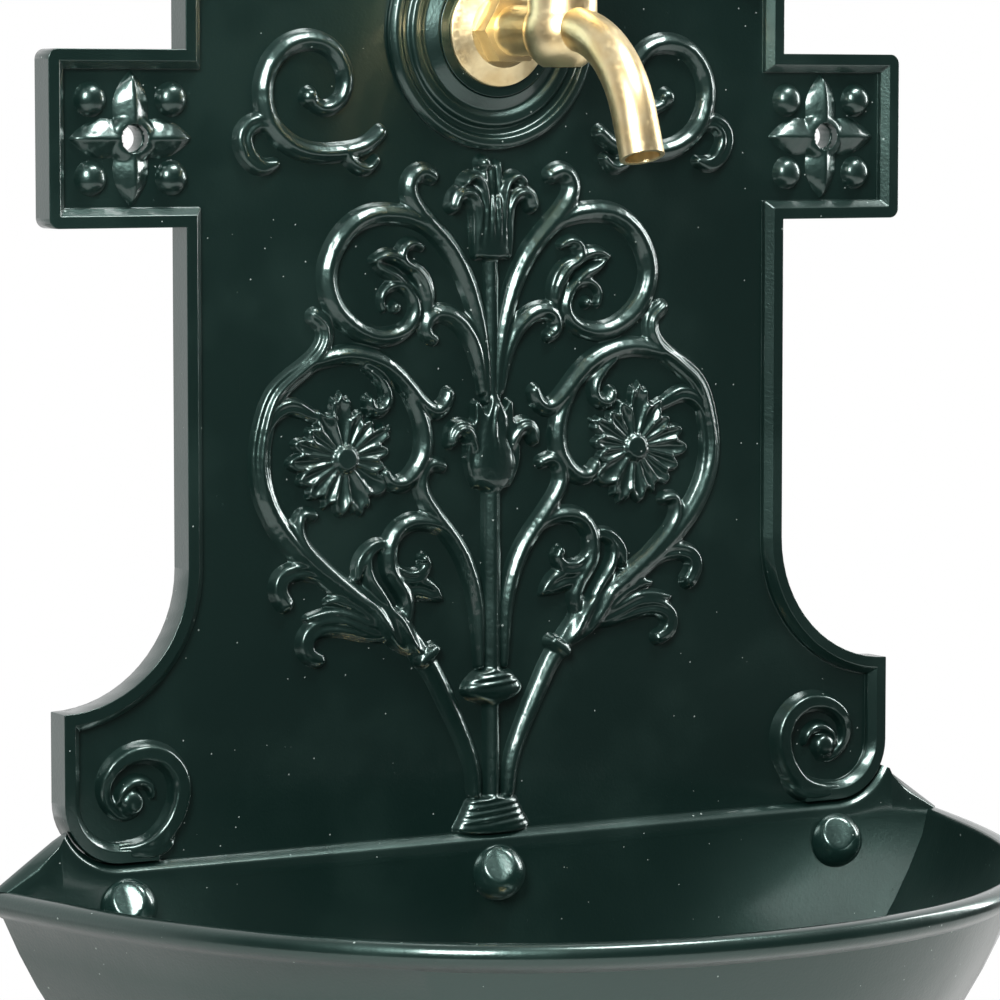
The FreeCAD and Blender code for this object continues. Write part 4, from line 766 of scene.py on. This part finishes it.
def make_beads():
    """Four small domes round each star."""
    right = Relief((HOLE_X - 26, -24), (HOLE_X + 26, 24), 71)
    for across in (-17, 17):
        for up in (-15, 15):
            right.dome((HOLE_X + across, up), 6.6, 5.2)
    make_pair("ear_domes", "ear_beads", right, 72, (0.04, 1.4))


def make_head():
    """A fan of fluted lobes over two rolls in the arched head."""
    head = Relief((-66, 88), (66, 172), 81)
    root = 105.0
    reach = 60.5
    lobes = 7
    for lobe in range(lobes):
        angle = math.radians(180 * (lobe + 0.5) / lobes)
        stretch = reach * (0.72 + 0.28 * math.sin(angle))
        points = [(stretch * share * math.cos(angle), root + stretch * share * math.sin(angle))
                  for share in (0.12, 0.4, 0.7, 1.0)]
        head.stroke(points, (4, 12, 9), leaf_form, RELIEF, 0.4)
    roll = [(0, -7), (18, -8), (36, -10), (52, -9), (60, 0), (55, 8), (47, 5)]
    for side in (1, -1):
        head.stroke([(side * x, root + z) for x, z in roll], (8, 8, 5), ribbon_form)
    head.dome((0, root - 3), 9, RELIEF + 2)
    head.roughen(0.06, 1.2)
    new_piece("head_shell", head.mesh("head_shell"), "pediment_shell")


def mesh_of_rings(name, rings, closed=True, round_about=True):
    """Quads between rings of equal length; closed also joins the last ring to the first."""
    count = len(rings[0])
    places = [tuple(value * MM for value in place) for ring in rings for place in ring]
    faces = []
    for level in range(len(rings) if closed else len(rings) - 1):
        here = level * count
        there = (level + 1) % len(rings) * count
        for i in range(count if round_about else count - 1):
            j = (i + 1) % count
            faces.append((here + i, here + j, there + j, there + i))
    mesh = bpy.data.meshes.new(name)
    mesh.from_pydata(places, [], faces)
    return mesh


def cleaned(mesh, sharp_degrees):
    """Normals outwards, smooth faces, and edges sharper than the angle kept crisp."""
    same_place = 0.02 * MM
    shape = bmesh.new()
    shape.from_mesh(mesh)
    bmesh.ops.remove_doubles(shape, verts=shape.verts, dist=same_place)
    bmesh.ops.recalc_face_normals(shape, faces=shape.faces)
    shape.to_mesh(mesh)
    shape.free()
    mesh.polygons.foreach_set("use_smooth", [True] * len(mesh.polygons))
    mesh.set_sharp_from_angle(angle=math.radians(sharp_degrees))
    return mesh


def rounded(profile, radius, steps=4):
    """The profile with each corner eased by short curves."""
    points = [np.array(point, float) for point in profile]
    eased = []
    count = len(points)
    for i, point in enumerate(points):
        before = points[i - 1] - point
        after = points[(i + 1) % count] - point
        cut = min(radius, 0.45 * np.linalg.norm(before), 0.45 * np.linalg.norm(after))
        start = point + before / np.linalg.norm(before) * cut
        end = point + after / np.linalg.norm(after) * cut
        for step in range(steps + 1):
            share = step / steps
            eased.append(tuple(start * (1 - share) ** 2 + point * 2 * share * (1 - share) + end * share ** 2))
    return eased


def make_ring():
    """Two mouldings and a sloping collar round the tap's land."""
    turns = 160
    outer = RING_RADIUS
    profile = [
        (LAND_RADIUS, 0.05), (outer, 0.05), (outer, 2.4), (outer - 2, 4.4), (outer - 4.5, 4.4),
        (outer - 6, 1.6), (outer - 8.5, 1.4), (outer - 10, 3.6), (outer - 13, 3.8), (outer - 15.5, 2.2),
        (LAND_RADIUS, 5.8),
    ]
    profile = rounded(profile, 0.9)
    rings = []
    for step in range(turns):
        angle = 2 * math.pi * step / turns
        right, up = math.cos(angle), math.sin(angle)
        rings.append([(reach * right, PANEL_FACE - height, TAP_Z + reach * up) for reach, height in profile])
    mesh = cleaned(mesh_of_rings("land_ring", rings), 180)
    new_piece("land_ring", mesh, "tap_ring")


BASIN_HALF = 220.0
BASIN_FRONT = -233.0
WALL_BACK = -8.0
WALL_FACE = -14.0
RIM_LOW = -296.0
WASTE_Y = -74.0
FLOOR_TOP = -402.5
NUT_X = 164.0
NUT_Z = -295.0
# Inset from the basin's outline, and height
ROLLED_RIM = [
    (3.2, -294.4), (1.2, -292.9), (0.2, -291.2), (0, -289.8), (0.1, -288.2), (0.9, -286.5), (2.3, -285.4),
    (4.2, -285),
]
INNER_LIP = [(6.6, -285), (8.2, -285.3), (9.0, -286.2), (9.4, -287.6)]


def basin_level(half_width, front, back, height):
    """One level of the basin: the bowed front from right to left, then the straight back."""
    reach = back - front
    bow = [(1, 0), (0.935, 0.25), (0.80, 0.56), (0.50, 0.87)]
    right = [(half_width * across, back - reach * out) for across, out in bow]
    left = [(-x, y) for x, y in reversed(right)]
    ring = [(x, y, height) for x, y in smooth_line(right + [(0, front)] + left, samples=121)[0]]
    return ring + [(half_width * share, back, height) for share in np.linspace(-1, 1, 26)[1:-1]]


def bowl_wall(inset, back):
    """Levels of the bowl from under its rim down to its floor."""
    steps = 14
    flare = math.radians(30)
    half_width, narrowing = 214, 142
    reach, shortening = 219, 115
    depth = 112
    levels = []
    for step in range(steps + 1):
        lean = flare + (math.pi / 2 - flare) * step / steps
        share = (math.cos(flare) - math.cos(lean)) / math.cos(flare)
        drop = (math.sin(lean) - math.sin(flare)) / (1 - math.sin(flare))
        front = WALL_BACK - (reach - shortening * share) + inset
        height = RIM_LOW - drop * (depth - inset)
        levels.append(basin_level(half_width - narrowing * share - inset, front, back, height))
    return levels


def drain_rings(places, like):
    """Circles round the waste, of given radius and height, their points facing those of a basin level."""
    angles = [math.atan2(y - WASTE_Y, x) for x, y, _ in like]
    return [[(radius * math.cos(angle), WASTE_Y + radius * math.sin(angle), height) for angle in angles]
            for radius, height in places]


def make_basin():
    """The cast bowl: floor, flared wall, rolled rim and flat back, with the hole for the waste."""
    wall = 5.5
    drain_radius = 15.3
    outside = bowl_wall(0, WALL_BACK)
    inside = bowl_wall(wall, WALL_FACE)
    rings = drain_rings([(drain_radius, -413), (25.2, -413), (26, -412), (27, -408)], outside[-1])
    rings += outside[::-1]
    for profile, back in ((ROLLED_RIM, WALL_BACK), (INNER_LIP, WALL_FACE)):
        for inset, height in profile:
            rings.append(basin_level(BASIN_HALF - inset, BASIN_FRONT + inset, back, height))
    rings += inside
    rings += drain_rings([(27, FLOOR_TOP), (drain_radius, FLOOR_TOP)], inside[-1])
    bowl = cleaned(mesh_of_rings("basin_bowl", rings), 38)
    new_piece("basin_bowl", joined("basin_bowl", [bowl, make_upstand()]), "basin")


def upstand_edge(inset, depth):
    """The top edge of the back wall round the plate's foot, with a pointed horn at each side."""
    corner_x, corner_z = 166.0, -254.0
    radius = 24.4 + inset
    right = [(x, corner_z - radius) for x in np.linspace(0, corner_x, 12)]
    for angle in np.linspace(-90, -26, 14)[1:]:
        turn = math.radians(angle)
        right.append((corner_x + radius * math.cos(turn), corner_z + radius * math.sin(turn)))
    tip = right[-1]
    right += [(tip[0] + 5.5 - inset, tip[1] - 3.2), (205 - inset, -275.9 - inset / 2), (218 - inset, -285.0)]
    return [(-x, depth, z) for x, z in reversed(right[1:])] + [(x, depth, z) for x, z in right]


def make_upstand():
    """The part of the back wall above the rim: its front edge is bevelled all along the top."""
    foot = -286.9
    bevel = [(0, WALL_BACK), (0.1, -9.8), (0.4, -10.4), (2.6, -13.4), (3.1, -13.75), (3.9, WALL_FACE - 0.04)]
    rings = [upstand_edge(inset, depth) for inset, depth in bevel]
    last = rings[-1]
    rings.append([(x, y, foot) for x, y, _ in last])
    rings.append([(x, WALL_BACK - 0.4, foot) for x, _, _ in last])
    return cleaned(mesh_of_rings("upstand", rings, round_about=False), 50)


def nut_cap(across):
    """A domed cap; a slightly dished plane that falls to its upper left cuts a soft scoop."""
    radius, rise = 11.5, 11.0
    levels, turns = 16, 48
    softness = 3.0
    rings = [[(across, WALL_FACE, NUT_Z)] * turns]
    for level in range(levels + 1):
        reach = radius * math.sin(math.pi / 2 * (1 - level / levels))
        dome = rise * (1 - (reach / radius) ** 2.3) ** 0.62
        ring = []
        for step in range(turns):
            angle = 2 * math.pi * step / turns
            x, z = reach * math.cos(angle), reach * math.sin(angle)
            scoop = 9.6 + 0.42 * x - 0.62 * (z - 1) + 0.26 * math.hypot(x + 4, 1.2)
            height = -math.log(math.exp(-dome * softness) + math.exp(-scoop * softness)) / softness
            ring.append((across + x, WALL_FACE - max(height, 0), NUT_Z + z))
        rings.append(ring)
    return cleaned(mesh_of_rings("nut_cap", rings, closed=False), 60)


def make_nut_caps():
    """The domed caps of the three nuts as one piece."""
    caps = [nut_cap(across) for across in (-NUT_X, 0.0, NUT_X)]
    new_piece("nut_caps", joined("nut_caps", caps), "domed_nuts", "enamelled_nut")


def dress_cad():
    """The carried-over CAD nodes get their finish, and small rounded edges that catch the light."""
    edge_width = {
        "back_plate": 1.0, "tap_body": 0.35, "tap_flange": 0.5, "bonnet": 0.35, "gland_nut": 0.25,
        "tap_handle": 0.5, "handle_screw": 0.25, "tap_lock_nut": 0.4, "waste_body": 0.3, "waste_nut": 0.5,
        "basin_bolts": 0.3, "basin_plug": 0.4,
    }
    slots = {part["node"]: part["material_slot"] for part in frame["record"]["subparts"]}
    for name, node in frame["nodes"].items():
        paint(node, NODE_MATERIALS[slots[name]])
        if name not in edge_width or node.hide_render:
            continue
        weld = node.modifiers.new("weld", "WELD")
        weld.merge_threshold = 0.002 * MM
        flat = node.modifiers.new("flat", "DECIMATE")
        flat.decimate_type = "DISSOLVE"
        flat.angle_limit = math.radians(0.4)
        bevel = node.modifiers.new("edges", "BEVEL")
        bevel.width = edge_width[name] * MM
        bevel.segments = 3
        bevel.limit_method = "ANGLE"
        bevel.angle_limit = math.radians(32)
        bevel.harden_normals = True


def turn_to(obj, place, aim):
    """Moves a camera or lamp to a place, in metres, and turns it to another."""
    obj.location = place
    obj.rotation_euler = (Vector(aim) - Vector(place)).to_track_quat("-Z", "Y").to_euler()


def make_camera():
    """The photograph's view: from the front left, a little above the basin."""
    data = bpy.data.cameras.new("camera")
    data.sensor_width = 36.0
    data.lens = 165.6
    data.clip_end = 20.0
    camera = bpy.data.objects.new("camera", data)
    bpy.context.scene.collection.objects.link(camera)
    turn_to(camera, (-0.9172, -1.6016, 0.0099), (0.0016, -0.0130, -0.1447))
    bpy.context.scene.camera = camera


def make_stage():
    """A round pale floor; beyond it the white of the world goes on."""
    radius = 1.25
    height = -0.62
    mesh = bpy.data.meshes.new("floor")
    turns = [math.radians(angle) for angle in range(0, 360, 5)]
    rim = [(radius * math.cos(turn), radius * math.sin(turn), height) for turn in turns]
    mesh.from_pydata(rim, [], [tuple(range(len(rim)))])
    floor = bpy.data.objects.new("floor", mesh)
    bpy.context.scene.collection.objects.link(floor)
    material, tree, shader = new_material("pale_floor", Base_Color=(0.60, 0.60, 0.59, 1.0), Roughness=0.9)
    camera_ray = add_node(tree, "ShaderNodeLightPath").outputs["Is Camera Ray"]
    glow = add_node(tree, "ShaderNodeEmission", {"Color": (1.0, 1.0, 1.0, 1.0), "Strength": 1.0})
    far = add_node(tree, "ShaderNodeVectorMath", {0: object_place(tree)}, operation="LENGTH")
    fade = remapped(tree, far.outputs["Value"], (0.75, 1.3), (0.6, 1.0))
    share = calculated(tree, "MULTIPLY", camera_ray, fade)
    shaders = {0: share, 1: shader.outputs["BSDF"], 2: glow.outputs["Emission"]}
    blend = add_node(tree, "ShaderNodeMixShader", shaders)
    tree.links.new(blend.outputs["Shader"], tree.nodes["Material Output"].inputs["Surface"])
    paint(floor, material)


def make_world():
    """White behind the fountain, a dim room in front of it, even low light for matt surfaces."""
    even_light = 0.26
    world = bpy.data.worlds.new("studio")
    bpy.context.scene.world = world
    world.use_nodes = True
    tree = world.node_tree
    path = add_node(tree, "ShaderNodeLightPath").outputs
    mirror_ray = calculated(tree, "MAXIMUM", path["Is Glossy Ray"], path["Is Transmission Ray"])
    way = add_node(tree, "ShaderNodeTexCoord").outputs["Generated"]
    ways = add_node(tree, "ShaderNodeSeparateXYZ", {"Vector": way}).outputs
    behind = remapped(tree, ways["Y"], (0.0, 0.45), (0.05, 0.85), eased=True)
    above = remapped(tree, ways["Z"], (0.25, 0.9), (0.0, 0.34), eased=True)
    left = remapped(tree, ways["X"], (-0.60, -0.95), (0.0, 0.06), eased=True)
    room = calculated(tree, "MAXIMUM", calculated(tree, "MAXIMUM", behind, above), left)
    mirrored = calculated(tree, "MULTIPLY", mirror_ray, room)
    matt_ray = calculated(tree, "SUBTRACT", 1.0, mirror_ray)
    dim = calculated(tree, "MULTIPLY_ADD", matt_ray, even_light, mirrored)
    shares = {"Factor": path["Is Camera Ray"], "A": dim, "B": 1.0}
    strength = add_node(tree, "ShaderNodeMix", shares, data_type="FLOAT")
    background = tree.nodes["Background"]
    background.inputs["Color"].default_value = (1.0, 1.0, 1.0, 1.0)
    tree.links.new(strength.outputs["Result"], background.inputs["Strength"])


def add_lamp(name, place, width, height, power):
    """A soft rectangular lamp that faces the fountain; metres and watts."""
    data = bpy.data.lights.new(name, "AREA")
    data.shape = "RECTANGLE"
    data.size = width
    data.size_y = height
    data.energy = power
    lamp = bpy.data.objects.new(name, data)
    bpy.context.scene.collection.objects.link(lamp)
    turn_to(lamp, place, (0.0, 0.0, -0.12))


def make_lamps():
    """Three softboxes: above, left and right."""
    add_lamp("top_softbox", (0.30, -0.62, 1.28), 0.72, 0.30, 21)
    add_lamp("left_softbox", (-1.04, -1.10, 0.62), 0.46, 0.80, 34)
    add_lamp("right_softbox", (1.30, -0.15, 0.30), 0.20, 0.9, 10)


for step in (
    make_scrollwork, make_rosettes, make_centre, make_corners, make_side_scrolls, make_stars, make_beads,
    make_head, make_ring, make_basin, make_nut_caps, dress_cad,
    make_camera, make_stage, make_world, make_lamps,
):
    step()

bpy.context.scene.view_settings.view_transform = "Standard"
bpy.context.view_layer.update()
